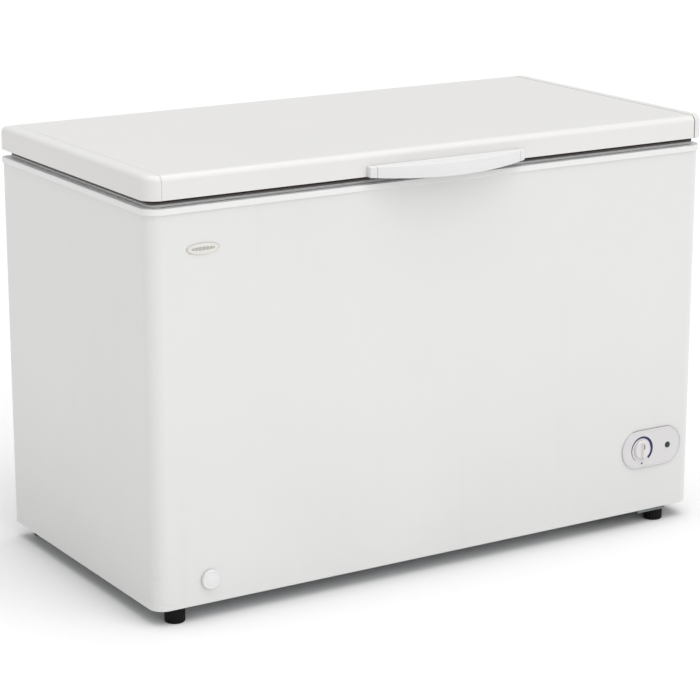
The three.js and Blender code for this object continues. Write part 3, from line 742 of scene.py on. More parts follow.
def tubes(paths: Iterable[Sequence[Vector]], radius: float, sides: int = 4, ring: bool = False) -> BMesh:
    """Makes round wires along paths.

    Args:
        paths: the points of each wire.
        radius: the wire's radius.
        sides: a quarter of the faces round it.
        ring: True when each path closes on itself.

    Returns:
        The mesh.
    """
    curve = bpy.data.curves.new("wires", "CURVE")
    curve.dimensions = "3D"
    curve.bevel_depth = radius
    curve.bevel_resolution = sides - 2
    curve.use_fill_caps = True
    for path in paths:
        spline = curve.splines.new("POLY")
        spline.points.add(len(path) - 1)
        spline.use_cyclic_u = ring
        for point, place in zip(spline.points, path):
            point.co = (*place, 1.0)
    thing = bpy.data.objects.new("wires", curve)
    bpy.context.scene.collection.objects.link(thing)
    bm = evaluated(thing)
    drop(thing)
    bmesh.ops.remove_doubles(bm, verts=bm.verts, dist=1e-6)
    bmesh.ops.recalc_face_normals(bm, faces=bm.faces)
    return bm


def bent(corners: Sequence[Point], radius: float, steps: int = 5, ring: bool = False) -> list[Vector]:
    """Rounds the corners of a path.

    Args:
        corners: the path's corners.
        radius: how far before and after each corner the bend reaches.
        steps: points in each bend.
        ring: True when the path closes on itself.

    Returns:
        The rounded path's points.
    """
    points = [Vector(c) for c in corners]
    count = len(points)
    path = [] if ring else [points[0]]
    for i in range(count) if ring else range(1, count - 1):
        before, here, after = points[i - 1], points[i], points[(i + 1) % count]
        start = here + (before - here).normalized() * min(radius, (before - here).length * 0.49)
        end = here + (after - here).normalized() * min(radius, (after - here).length * 0.49)
        for k in range(steps + 1):
            t = k / steps
            path.append(start * (1 - t) ** 2 + here * (2 * t * (1 - t)) + end * t**2)
    return path if ring else [*path, points[-1]]


@dataclass
class Workshop:
    """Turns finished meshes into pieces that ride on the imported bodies.

    Attributes:
        shift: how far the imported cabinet's middle lies along Y.
    """

    shift: float

    def fit(
        self,
        name: str,
        bm: BMesh,
        body: str,
        finish: Finish,
        stands_for: Sequence[str] = (),
        wall: float = 0.0,
        crease: float = 32.0,
        centred: bool = True,
    ) -> bpy.types.Object:
        """Makes a piece of a mesh, which is freed.

        Args:
            name: the piece's name.
            bm: its mesh.
            body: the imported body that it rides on.
            finish: its surface.
            stands_for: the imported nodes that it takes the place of.
            wall: the thickness that its surface is given inwards.
            crease: the angle in degrees above which an edge stays sharp.
            centred: True when it is drawn about the cabinet's middle.

        Returns:
            The piece.
        """
        if centred:
            bmesh.ops.translate(bm, verts=bm.verts, vec=(0.0, self.shift, 0.0))
        data = bpy.data.meshes.new(name)
        bm.to_mesh(data)
        bm.free()
        data.materials.clear()
        data.materials.append(material_of(finish))
        data.shade_smooth()
        data.set_sharp_from_angle(angle=math.radians(crease))
        thing = bpy.data.objects.new(name, data)
        bpy.context.scene.collection.objects.link(thing)
        if wall:
            solid = thing.modifiers.new("wall", "SOLIDIFY")
            solid.thickness = wall
            solid.offset = -1.0
        even = thing.modifiers.new("even", "WEIGHTED_NORMAL")
        even.keep_sharp = True
        even.weight = 100
        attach(thing, body)
        if stands_for:
            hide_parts(*stands_for)
        LOG.info("%s rides on %s, %d faces", name, body, len(data.polygons))
        return thing

    def refine(
        self, node: str, body: str, finish: Finish, edge: float, segments: int = 2
    ) -> bpy.types.Object:
        """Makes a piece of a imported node's own form, with its edges rounded.

        Args:
            node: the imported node, which the piece takes the place of.
            body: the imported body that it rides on.
            finish: its surface.
            edge: the radius given to its edges.
            segments: steps round each edge.

        Returns:
            The piece.
        """
        bm = bmesh.new()
        bm.from_mesh(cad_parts[node].data)
        bmesh.ops.remove_doubles(bm, verts=bm.verts, dist=1e-6)
        bmesh.ops.dissolve_limit(bm, angle_limit=math.radians(1.0), verts=bm.verts, edges=bm.edges)
        sharp = [e for e in bm.edges if e.is_manifold and e.calc_face_angle() > math.radians(35)]
        bmesh.ops.bevel(
            bm,
            geom=sharp,
            offset=edge,
            segments=segments,
            profile=0.5,
            affect="EDGES",
            material=-1,
            clamp_overlap=True,
        )
        return self.fit(f"{node}_finished", bm, body, finish, (node,), centred=False)

    def dress(self, finish: Finish, *nodes: str) -> None:
        """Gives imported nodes, which keep their own meshes, a finish.

        Args:
            finish: the surface.
            nodes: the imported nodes.
        """
        for node in nodes:
            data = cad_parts[node].data
            data.materials.clear()
            data.materials.append(material_of(finish))
            LOG.info("%s is dressed as %s", node, finish.name)


# ------------------------------------------------------------------ cabinet


@dataclass
class Cabinet:
    """The steel wrap, its back and base, the rim, and the lined well.

    Attributes:
        half_x: half the cabinet's length.
        half_y: half its depth.
        bottom: the height of its lower edge.
        top: the height of the steel wrap's upper edge.
        front: the bend radius of its front edges.
        rear: the bend radius of its rear edges.
        steel: the sheet's thickness.
        wall: the thickness of the insulated wall.
        liner_corner: the radius of the well's corners.
        step: the left face and top of the step in the well.
    """

    half_x: float = 0.610
    half_y: float = 0.302
    bottom: float = 0.030
    top: float = 0.760
    front: float = 0.028
    rear: float = 0.006
    steel: float = 0.0012
    wall: float = 0.062
    liner_corner: float = 0.030
    step: tuple[float, float] = (0.315, 0.307)

    def plan(self, inset: float = 0.0, corner: float | None = None) -> Plan:
        """Returns the cabinet's plan, moved inwards.

        Args:
            inset: how far inwards.
            corner: the radius of all four corners, when they don't follow the cabinet's.

        Returns:
            The plan.
        """
        if corner is None:
            return Plan(self.half_x, self.half_y, self.front, self.rear).grown(-inset)
        return Plan(self.half_x - inset, self.half_y - inset, corner, corner)

    def build(self, shop: Workshop) -> None:
        """Builds every piece of the cabinet."""
        self.build_wrap(shop)
        self.build_back(shop)
        self.build_rim(shop)
        self.build_well(shop)
        shop.dress(ZINC, "bottom_pan", "machine_bay_liner")
        shop.dress(FOAM, "cabinet_foam")
        shop.dress(STUCCO, "liner_floor")

    def build_wrap(self, shop: Workshop) -> None:
        """Builds the bent steel wrap, with a hemmed lower edge and its holes."""
        hem = 0.0005
        levels = [
            (self.plan(hem), self.bottom),
            (self.plan(), self.bottom + hem),
            (self.plan(), self.top),
            (self.plan(self.steel), self.top),
            (self.plan(self.steel), self.bottom + hem),
        ]
        panel = Plan(0.0665, 0.033, 0.0325, 0.0325)
        window = [(panel, -0.01), (panel, 0.01)]
        drill = [(0, -0.01), (0.010, -0.01), (0.010, 0.01), (0, 0.01)]
        cutters = [
            block((-0.564, 0.290, 0.0), (0.564, 0.31, 0.80)),
            posed(swept(window, 8, False), (0.505, -self.half_y, 0.160), Facing.FRONT),
            posed(turned(drill), (-0.5, -self.half_y, 0.076), Facing.FRONT),
            block((0.600, -0.152, 0.074), (0.620, 0.012, 0.188)),
        ]
        bm = carved(swept(levels, 14), cutters)
        shop.fit("cabinet_wrap", bm, "cabinet", ENAMEL, ("outer_shell",))

    def build_back(self, shop: Workshop) -> None:
        """Builds the galvanised back with its pressed stiffening beads."""
        y0, y1 = self.half_y - self.steel, self.half_y
        sheet = carved(
            block((-0.5637, y0, 0.030), (0.5637, y1, 0.760)),
            [block((0.384, y0 - 0.01, 0.052), (0.550, y1 + 0.01, 0.236))],
        )
        beads = []
        for z in (0.30, 0.42, 0.54):
            bead = block((-0.50, y1 - 0.0015, z - 0.007), (0.50, y1 + 0.0025, z + 0.007), 0.0022, 3)
            beads.append(bead)
        for x in (-0.30, 0.0, 0.30):
            beads.append(block((x - 0.007, y1 - 0.0015, 0.06), (x + 0.007, y1 + 0.0025, 0.26), 0.0022, 3))
        shop.fit("cabinet_back", together(sheet, *beads), "cabinet", ZINC, ("back_panel",))

    def build_rim(self, shop: Workshop) -> None:
        """Builds the moulded rim: outer skirt, sealing face, basket ledge and inner hem."""
        inner, lip = 0.046, 0.065
        deep = functools.partial(self.plan, corner=self.liner_corner)
        levels = [
            (self.plan(-0.0004), 0.7535),
            (self.plan(-0.0022), 0.7535),
            (self.plan(-0.0030), 0.7543),
            (self.plan(-0.0030), 0.7632),
            (self.plan(-0.0024), 0.7644),
            (self.plan(-0.0012), 0.7650),
            (deep(inner - 0.0016), 0.7650),
            (deep(inner - 0.0004), 0.7646),
            (deep(inner), 0.7636),
            (deep(inner), 0.7580),
            (deep(inner + 0.001), 0.7570),
            (deep(lip - 0.0018), 0.7570),
            (deep(lip - 0.0004), 0.7565),
            (deep(lip), 0.7552),
            (deep(lip), 0.7422),
            (deep(lip - 0.0024), 0.7422),
            (deep(lip - 0.0024), 0.7542),
            (deep(inner - 0.003), 0.7542),
            (deep(inner - 0.003), 0.7620),
            (self.plan(-0.0004), 0.7620),
        ]
        nodes = tuple(f"trim_{side}" for side in ("front", "right", "back", "left"))
        shop.fit("rim", swept(levels, 14), "cabinet", RIM, nodes)

    def build_well(self, shop: Workshop) -> None:
        """Builds the pebbled walls of the well, cut away for the step."""
        outer, inner = (self.plan(self.wall - 0.001, 0.031), self.plan(self.wall, self.liner_corner))
        levels = [(outer, 0.091), (outer, 0.7535), (inner, 0.7535), (inner, 0.091)]
        step_x, step_z = self.step
        under = block((step_x - 0.0003, -0.3, 0.0), (0.61, 0.3, step_z - 0.0013))
        nodes = tuple(f"liner_{side}" for side in ("front", "right", "back", "left"))
        shop.fit("well_walls", carved(swept(levels, 10), [under]), "cabinet", STUCCO, nodes)


# ------------------------------------------------------------------ lid


@dataclass
class Lid:
    """The steel-topped lid: moulded end caps, foam, inner panel, seal and bow handle.

    Attributes:
        half_x: half its length.
        half_y: half its depth.
        bottom: the height of its lower edge.
        top: the height of its top.
        edge: the rounding of its upper edge.
        front: the radius of its front corners.
        rear: the radius of its rear corners.
        cap: the width of each end cap.
    """

    half_x: float = 0.614
    half_y: float = 0.306
    bottom: float = 0.7795
    top: float = 0.8235
    edge: float = 0.012
    front: float = 0.031
    rear: float = 0.014
    cap: float = 0.030

    def plan(self, inset: float = 0.0) -> Plan:
        """Returns the lid's plan, moved inwards."""
        return Plan(self.half_x, self.half_y, self.front, self.rear).grown(-inset)

    def build(self, shop: Workshop) -> None:
        """Builds every piece of the lid."""
        seam = self.half_x - self.cap
        self.build_skin(shop, "lid_top", (-seam, seam), 0.0012, LID_ENAMEL, "white_steel", "lid_panel")
        sides = (("left", (None, -seam - 0.0003)), ("right", (seam + 0.0021, None)))
        for side, span in sides:
            node = f"lid_end_cap_{side}"
            self.build_skin(shop, f"lid_cap_{side}", span, 0.0025, CAP_SKIN, "white_plastic", node)
            # A thin dark strip sunk in each seam gap is painted shadow, the shade inside the gap between the
            # top and the cap.
            shadow_strip = (-seam - 0.0003, -seam) if side == "left" else (seam, seam + 0.0021)
            self.build_skin(shop, f"lid_seam_shadow_{side}", shadow_strip, 0.0004, SEAM_SHADOW, "dark_plastic", sunk=0.0001)
        self.build_inner(shop)
        self.build_seal(shop)
        Handle(-self.half_y - 0.0003).build(shop)
        shop.dress(FOAM, "lid_foam")

    def form(self, sunk: float) -> BMesh:
        """Returns the whole lid's outside, open underneath and round over its upper edge.

        Args:
            sunk: how far inside the lid's surface it lies.

        Returns:
            The mesh.
        """
        steps = 8
        levels = [(self.plan(0.0005 + sunk), self.bottom), (self.plan(sunk), self.bottom + 0.0006)]
        for k in range(steps + 1):
            angle = math.pi / 2 * k / steps
            inset = sunk + self.edge * (1 - math.cos(angle))
            levels.append((self.plan(inset), self.top - sunk - self.edge + self.edge * math.sin(angle)))
        bm = swept(levels, 14, False)
        under = [f for f in bm.faces if all(v.co.z < self.bottom + 1e-5 for v in f.verts)]
        bmesh.ops.delete(bm, geom=under, context="FACES_ONLY")
        return bm

    def build_skin(
        self,
        shop: Workshop,
        name: str,
        span: tuple[float | None, float | None],
        thick: float,
        finish: Finish,
        slot: str,
        *nodes: str,
        sunk: float = 0.0,
    ) -> None:
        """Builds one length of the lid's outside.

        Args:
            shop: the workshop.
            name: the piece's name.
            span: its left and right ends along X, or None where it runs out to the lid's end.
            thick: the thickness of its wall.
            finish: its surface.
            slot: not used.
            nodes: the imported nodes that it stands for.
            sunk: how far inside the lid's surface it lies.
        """
        bm = self.form(sunk)
        for x, way in zip(span, (-1.0, 1.0)):
            if x is not None:
                bmesh.ops.bisect_plane(
                    bm,
                    geom=[*bm.verts, *bm.edges, *bm.faces],
                    plane_co=(x, 0, 0),
                    plane_no=(way, 0, 0),
                    clear_outer=True,
                )
        bmesh.ops.recalc_face_normals(bm, faces=bm.faces)
        shop.fit(name, bm, "lid", finish, nodes, wall=thick, crease=50.0)

    def build_inner(self, shop: Workshop) -> None:
        """Builds the moulded panel under the lid, with its raised field and shallow recess."""
        cabinet = Cabinet()
        flat = self.bottom
        levels = [
            (self.plan(0.0029), flat + 0.002),
            (self.plan(0.0029), flat + 0.0004),
            (self.plan(0.0033), flat),
            (cabinet.plan(0.0690, 0.034), flat),
            (cabinet.plan(0.0735, 0.032), flat - 0.0016),
            (cabinet.plan(0.0760, 0.030), flat - 0.0050),
            (cabinet.plan(0.0775, 0.029), flat - 0.0125),
            (cabinet.plan(0.0800, 0.028), flat - 0.0152),
            (cabinet.plan(0.0840, 0.026), flat - 0.0160),
            (cabinet.plan(0.1400, 0.050), flat - 0.0160),
            (cabinet.plan(0.1412, 0.049), flat - 0.0158),
            (cabinet.plan(0.1436, 0.048), flat - 0.0146),
            (cabinet.plan(0.1450, 0.047), flat - 0.0143),
        ]
        bm = swept(levels, 10, False)
        top = [f for f in bm.faces if all(v.co.z > flat + 0.0015 for v in f.verts)]
        bmesh.ops.delete(bm, geom=top, context="FACES_ONLY")
        shop.fit("lid_inner", bm, "lid", INNER, ("lid_liner",), wall=0.0016, crease=45.0)

    def build_seal(self, shop: Workshop) -> None:
        """Builds the magnetic seal: a soft foot below and a folded bellows above."""
        outside = [
            (0.0140, 0.7653),
            (0.0110, 0.7655),
            (0.0100, 0.7664),
            (0.0100, 0.7688),
            (0.0108, 0.7696),
            (0.0126, 0.7699),
            (0.0126, 0.7705),
            (0.0106, 0.7710),
            (0.0104, 0.7732),
            (0.0118, 0.7742),
            (0.0146, 0.7747),
            (0.0146, 0.7756),
            (0.0126, 0.7764),
            (0.0124, 0.7774),
            (0.0146, 0.7782),
            (0.0140, 0.7791),
        ]
        inside = [(0.0300, 0.7791), (0.0295, 0.7735), (0.0330, 0.7713), (0.0340, 0.7670), (0.0320, 0.7653)]
        cabinet = Cabinet()
        levels = [(Plan(cabinet.half_x - u, cabinet.half_y - u, 0.028 - u, 0.012), z) for u, z in outside]
        levels += [(Plan(cabinet.half_x - u, cabinet.half_y - u, 0.020, 0.012), z) for u, z in inside]
        shop.fit("lid_seal", swept(levels, 10), "lid", VINYL, ("lid_gasket",))


@dataclass
class Handle:
    """The bowed pull on the lid's front, hollow from below.

    Attributes:
        back: the plane that it is fixed to.
        length: its length.
        end: how far its ends stand out.
        reach: how far its middle stands out.
        top: the height of its top.
        low: the height of its lower edge at the ends.
        dip: how far the lower edge drops at the middle.
        wall: its thickness.
        block: the length of each end block.
    """

    back: float
    length: float = 0.340
    end: float = 0.0117
    reach: float = 0.0447
    top: float = 0.7990
    low: float = 0.7796
    dip: float = 0.0062
    wall: float = 0.0030
    block: float = 0.0125

    def build(self, shop: Workshop) -> None:
        """Builds the handle: the bow, and a short block at each end."""
        half, seam = self.length / 2, self.length / 2 - self.block
        spans = ((-half, -seam, 3), (-seam + 0.0004, seam - 0.0004, 36), (seam, half, 3))
        bm = together(*(self.shell(*span) for span in spans))
        nodes = ("lid_handle",)
        shop.fit("lid_pull", bm, "lid", MOULDING, nodes, wall=self.wall, crease=40.0)

    def shell(self, left: float, right: float, slices: int) -> BMesh:
        """Returns one length of the handle's outside, open underneath.

        Args:
            left: its left end.
            right: its right end.
            slices: how many lengths its curves are cut into.

        Returns:
            The mesh.
        """
        bm = block((left, -1.0, -1.0), (right, 1.0, 1.0))
        for k in range(1, slices):
            bmesh.ops.bisect_plane(
                bm,
                geom=[*bm.verts, *bm.edges, *bm.faces],
                plane_co=(left + (right - left) * k / slices, 0, 0),
                plane_no=(1, 0, 0),
            )
        for vert in bm.verts:
            vert.co = self.formed(vert.co)
        under = [f for f in bm.faces if f.normal.z < -0.5]
        bmesh.ops.delete(bm, geom=under, context="FACES_ONLY")
        edges = [e for e in bm.edges if self.is_outer_edge(e)]
        bmesh.ops.bevel(bm, geom=edges, offset=0.0014, segments=3, profile=0.5, affect="EDGES", material=-1)
        return bm

    def formed(self, point: Vector) -> Vector:
        """Returns where a corner of the straight bar goes on the bow."""
        crown = 1 - (2 * point.x / self.length) ** 2
        out = self.end + (self.reach - self.end) * crown
        y = self.back - out if point.y < 0 else self.back
        low = self.low - self.dip * crown if point.y < 0 else self.low
        return Vector((point.x, y, self.top if point.z > 0 else low))

    def is_outer_edge(self, edge: BMEdge) -> bool:
        """Returns True for the sharp edges of the front, top and ends."""
        if len(edge.link_faces) != 2:
            return False
        away = all(v.co.y > self.back - 1e-4 for v in edge.verts)
        return not away and edge.calc_face_angle() > math.radians(40)


# ------------------------------------------------------------------ controls, drain and badge


@dataclass
class Controls:
    """The control panel, its printed scale, the knob and the lamp.

    Attributes:
        face: the plane of the cabinet's front.
        x: the panel's middle.
        z: its height.
        knob_x: the knob's middle.
        lamp_x: the lamp's middle.
        thick: how far the panel stands out.
    """

    face: float = -0.3023
    x: float = 0.505
    z: float = 0.160
    knob_x: float = 0.481
    lamp_x: float = 0.545
    thick: float = 0.0032

    def build(self, shop: Workshop) -> None:
        """Builds every piece of the controls."""
        self.build_panel(shop)
        self.build_scale(shop)
        self.build_knob(shop)
        self.build_lamp(shop)
        shop.refine("thermostat", "cabinet", PLATED, 0.0012)
        shop.dress(BLACK, "control_cable")

    def build_panel(self, shop: Workshop) -> None:
        """Builds the panel: a soft-edged plate with a fine groove inside its rim, and a dark ring round it,
        set to the right, that is painted shadow.
        """
        plan = Plan(0.0725, 0.039, 0.0385, 0.0385)
        steps = [(0.0, 0.0), (0.0, 0.0020), (0.0004, 0.0027), (0.0014, 0.0032), (0.0032, 0.0032)]
        groove = [(0.0036, 0.0026), (0.0042, 0.0026), (0.0046, 0.0030)]
        levels = [(plan.grown(-u), z) for u, z in [*steps, *groove]]
        bm = posed(swept(levels, 14, False), (self.x, self.face, self.z), Facing.FRONT)
        shop.fit("panel_plate", bm, "cabinet", PANEL_SKIN, ("control_panel",))
        # A thin dark ring just outside the plate, moved to the right, is painted shadow along the panel's
        # edge.
        edge = [(0.0010, 0.0), (-0.0002, 0.0), (-0.0002, 0.0019), (0.0010, 0.0019)]
        bm = swept([(plan.grown(-u), z) for u, z in edge], 14, False)
        posed(bm, (self.x + 0.0007, self.face, self.z), Facing.FRONT)
        shop.fit("panel_shadow_line", bm, "cabinet", SEAM_SHADOW)

    def build_scale(self, shop: Workshop) -> None:
        """Builds the printed crescent, which thickens clockwise, and the dot at its foot."""
        steps = 60
        bm = bmesh.new()
        bmesh.ops.create_grid(bm, x_segments=steps, y_segments=1, size=0.5)
        for vert in bm.verts:
            vert.co = self.on_crescent(vert.co.x + 0.5, vert.co.y + 0.5)
        bmesh.ops.recalc_face_normals(bm, faces=bm.faces)
        bmesh.ops.solidify(bm, geom=list(bm.faces), thickness=0.00012)
        level = self.face - 0.0030
        ring = posed(bm, (self.knob_x, level - 0.00008, self.z), Facing.FRONT)
        dot = turned([(0, -0.0001), (0.0019, -0.0001), (0.0019, 0.0001), (0, 0.0001)], 20)
        posed(dot, (self.knob_x, level - 0.0001, self.z - 0.029), Facing.FRONT)
        shop.fit("panel_print", together(ring, dot), "cabinet", INK)

    @staticmethod
    def on_crescent(along: float, across: float) -> Vector:
        """Returns a point of the crescent.

        Args:
            along: 0 at its thin end, 1 at its thick end.
            across: 0 at its inner edge, 1 at its outer edge.

        Returns:
            The point, with the panel's face as z = 0.
        """
        angle = math.radians(-128 - 284 * along)
        thick = 0.0010 + 0.0062 * min(1.0, along * 1.2) ** 1.4
        radius = 0.0270 - thick * (1 - across)
        return Vector((radius * math.cos(angle), radius * math.sin(angle), 0.0))

    def build_knob(self, shop: Workshop) -> None:
        """Builds the knob: a dished disc with a grip bar, and its pointer mark."""
        place = (self.knob_x, self.face - self.thick, self.z)
        profile = [
            (0, 0.0004), (0.0192, 0.0004), (0.0195, 0.0007), (0.0195, 0.0013), (0.0192, 0.0018),
            (0.0176, 0.0043), (0.0170, 0.0046), (0.0164, 0.0045), (0.0156, 0.0038), (0, 0.0038),
        ]
        bar = Plan(0.0040, 0.0168, 0.0032, 0.0032)
        levels = [
            (bar.grown(0.0016), 0.0037), (bar.grown(0.0010), 0.0044), (bar.grown(-0.0008), 0.0084),
            (bar.grown(-0.0012), 0.0092), (bar.grown(-0.0019), 0.0096),
        ]
        shaft = turned([(0, -0.012), (0.003, -0.012), (0.003, 0.001), (0, 0.001)], 20)
        bm = posed(together(turned(profile, 56), swept(levels, 6, False), shaft), place, Facing.FRONT)
        shop.fit("knob_grip", bm, "knob", KNOB_SKIN, ("thermostat_knob",), crease=40.0)
        mark = block((-0.0023, 0.0024, 0.0094), (-0.0001, 0.0130, 0.00972), 0.00006, 1)
        posed(mark, place, Facing.FRONT)
        shop.fit("knob_mark", mark, "knob", MARK)

    def build_lamp(self, shop: Workshop) -> None:
        """Builds the domed green lamp."""
        place = (self.lamp_x, -0.302, self.z)
        profile = [
            (0, -0.010), (0.0044, -0.010), (0.0044, 0.0042), (0.0041, 0.0050), (0.0032, 0.0054),
            (0.0018, 0.0057), (0, 0.0058),
        ]
        bm = posed(turned(profile, 28), place, Facing.FRONT)
        shop.fit("lamp", bm, "cabinet", GREEN, ("led_lens",), crease=50.0)
        bezel = [
            (0.00445, 0.0030), (0.0061, 0.0034), (0.0060, 0.0042), (0.0052, 0.0048),
            (0.00455, 0.0047), (0.00445, 0.0030),
        ]
        bm = posed(turned(bezel, 36), place, Facing.FRONT)
        shop.fit("lamp_bezel", bm, "cabinet", BLACK, crease=50.0)


@dataclass
class Drain:
    """The defrost drain: tube, floor stopper and front cap.

    Attributes:
        x: its place along the front.
        y: the place of its floor hole.
        z: the height of its outlet.
        floor: the height of the well's floor.
    """

    x: float = -0.500
    y: float = -0.190
    z: float = 0.076
    floor: float = 0.092

    def build(self, shop: Workshop) -> None:
        """Builds the cap and stopper, and dresses the tube."""
        cap = [
            (0, -0.0220), (0.0052, -0.0220), (0.0056, -0.0210), (0.0056, 0.0006), (0.0174, 0.0006),
            (0.0182, 0.0013), (0.0182, 0.0050), (0.0177, 0.0063), (0.0165, 0.0071), (0.0155, 0.0073),
            (0.0146, 0.0070), (0.0140, 0.0066), (0.0132, 0.0065), (0.0124, 0.0069), (0.0112, 0.0072),
            (0.0060, 0.0075), (0, 0.0076),
        ]
        bm = posed(turned(cap, 48), (self.x, -0.302, self.z), Facing.FRONT)
        shop.fit("drain_plug", bm, "drain_cap", MOULDING, ("drain_cap",), crease=50.0)
        stopper = [
            (0, -0.0100), (0.0050, -0.0100), (0.0056, -0.0088), (0.0052, -0.0070), (0.0056, -0.0052),
            (0.0054, 0.0), (0.0114, 0.0), (0.0120, 0.0008), (0.0120, 0.0022), (0.0108, 0.0030),
            (0.0042, 0.0050), (0.0036, 0.0070), (0.0040, 0.0110), (0.0030, 0.0120), (0, 0.0120),
        ]
        bm = posed(turned(stopper, 32), (self.x, self.y, self.floor + 0.0021))
        shop.fit("well_stopper", bm, "drain_stopper", RUBBER, ("drain_stopper",), crease=50.0)
        shop.dress(MOULDING, "drain_tube")


@dataclass
class Badge:
    """The oval plate high on the front: a foil rim, a pale field and a plain device of short bars.

    Attributes:
        x: its middle.
        z: its height.
        half_x: half its length.
        half_z: half its height.
    """

    x: float = -0.504
    z: float = 0.687
    half_x: float = 0.033
    half_z: float = 0.0105

    def disc(self, profile: Sequence[tuple[float, float]]) -> BMesh:
        """Returns an oval disc, from pairs of share of the radius and height."""
        bm = turned([(share, height) for share, height in profile], 64)
        bmesh.ops.scale(bm, verts=bm.verts, vec=(self.half_x, self.half_z, 1.0))
        return posed(bm, (self.x, -0.3023, self.z), Facing.FRONT)

    def build(self, shop: Workshop) -> None:
        """Builds the plate, its field and its device."""
        rim = [
            (0, 0), (0.98, 0), (1.0, 0.0004), (0.995, 0.0010),
            (0.97, 0.0015), (0.94, 0.0014), (0.92, 0.0010), (0, 0.0010),
        ]
        shop.fit("badge_rim", self.disc(rim), "cabinet", FOIL, ("badge_plate",), crease=60.0)
        field = [(0, 0.0009), (0.91, 0.0009), (0.89, 0.0012), (0, 0.0013)]
        shop.fit("badge_field", self.disc(field), "cabinet", BADGE_FIELD, crease=60.0)
        bars = []
        for k in range(-8, 9):
            across = self.x + 0.0027 * k
            half = 0.0005 + 0.0027 * math.sqrt(1 - (k / 9) ** 2)
            low = (across - 0.0006, -0.30385, self.z - half)
            bars.append(block(low, (across + 0.0006, -0.3035, self.z + half), 0.0001, 1))
        shop.fit("badge_bars", together(*bars), "cabinet", DEVICE)


# ------------------------------------------------------------------ feet, hinges, machinery


@dataclass
class Foot:
    """A fluted levelling foot.

    Attributes:
        body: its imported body, which is also its node.
        x: its place along the front.
        y: its place from front to back.
        ceiling: the height of what it screws into.
        radius: its radius.
        flutes: how many flutes run round it.
    """

    body: str
    x: float
    y: float
    ceiling: float
    radius: float = 0.019
    flutes: int = 20

    def build(self, shop: Workshop) -> None:
        """Builds the foot and its stud."""
        bm = bmesh.new()
        around = self.flutes * 4
        made = bmesh.ops.create_circle(bm, cap_ends=True, segments=around, radius=self.radius)
        for i, vert in enumerate(made["verts"]):
            if i % 4 in (2, 3):
                vert.co *= 0.955
        top = bmesh.ops.extrude_face_region(bm, geom=list(bm.faces))["geom"]
        lifted = [g for g in top if isinstance(g, BMVert)]
        height = self.ceiling - 0.0003
        bmesh.ops.translate(bm, verts=lifted, vec=(0, 0, height))
        low = [e for e in bm.edges if all(v.co.z < 1e-6 for v in e.verts)]
        bmesh.ops.recalc_face_normals(bm, faces=bm.faces)
        bmesh.ops.bevel(bm, geom=low, offset=0.0030, segments=3, profile=0.5, affect="EDGES", material=-1)
        ridge, z = [(0, height - 0.0004)], height - 0.0004
        while z < height + 0.0165:
            ridge += [(0.0036, z), (0.0040, z + 0.0004), (0.0036, z + 0.0008)]
            z += 0.0012
        stud = turned([*ridge, (0, z)], 16)
        posed(together(bm, stud), (self.x, self.y, 0.0))
        shop.fit(f"{self.body}_pad", bm, self.body, RUBBER, (self.body,), crease=24.0)


@dataclass
class Hinge:
    """One sprung rear hinge.

    Attributes:
        side: left or right.
        x: its middle.
        y: the pin's place.
        z: the pin's height.
    """

    side: str
    x: float
    y: float = 0.320
    z: float = 0.774

    def build(self, shop: Workshop) -> None:
        """Builds the hinge's plates, pin, spring, cover and screws."""
        shop.refine(f"hinge_base_{self.side}", "cabinet", PLATED, 0.0004)
        shop.refine(f"hinge_arm_{self.side}", "lid", PLATED, 0.0004)
        shop.refine(f"hinge_cover_{self.side}", "cabinet", MOULDING, 0.0012, 3)
        self.build_pin(shop)
        self.build_spring(shop)
        places = [(self.x + dx, self.y - 0.0112, self.z + 0.030) for dx in (-0.012, 0.012)]
        shop.fit(f"hinge_screws_{self.side}", screws(places, Facing.BACK), "lid", PLATED, crease=40.0)

    def build_pin(self, shop: Workshop) -> None:
        """Builds the pin with its rounded head and chamfered tip."""
        profile = [
            (0, -0.0300), (0.0032, -0.0300), (0.0040, -0.0292), (0.0040, 0.0284), (0.0060, 0.0284),
            (0.0060, 0.0300), (0.0050, 0.0308), (0.0030, 0.0310), (0, 0.0310),
        ]
        bm = posed(turned(profile, 28), (self.x, self.y, self.z), Facing.ALONG_X)
        node = f"hinge_pin_{self.side}"
        shop.fit(f"{node}_turned", bm, "cabinet", PLATED, (node,), crease=40.0)

    def build_spring(self, shop: Workshop) -> None:
        """Builds the torsion spring wound on the pin."""
        turns, steps, radius = 7.5, 150, 0.0062
        path = []
        for i in range(steps + 1):
            angle = math.tau * turns * i / steps
            along = -0.0115 + 0.023 * i / steps
            y, z = self.y + radius * math.cos(angle), self.z + radius * math.sin(angle)
            path.append(Vector((self.x + along, y, z)))
        node = f"hinge_spring_{self.side}"
        shop.fit(f"{node}_wound", tubes([path], 0.0012), "cabinet", PLATED, (node,), crease=60.0)


def screws(places: Iterable[Point], facing: Facing, radius: float = 0.0036) -> BMesh:
    """Makes domed screw heads with a cross recess.

    Args:
        places: the middle of each head's underside.
        facing: the way they face.
        radius: the head's radius.

    Returns:
        The mesh.
    """
    heads = []
    for place in places:
        dome = turned([(0, 0), (radius, 0), (radius * 0.97, 0.0008), (radius * 0.7, 0.0017), (0, 0.0021)], 24)
        wide, narrow = radius * 0.62, radius * 0.14
        cross = [
            block((-wide, -narrow, 0.0012), (wide, narrow, 0.003)),
            block((-narrow, -wide, 0.0012), (narrow, wide, 0.003)),
        ]
        heads.append(posed(carved(dome, cross), place, facing))
    return together(*heads)


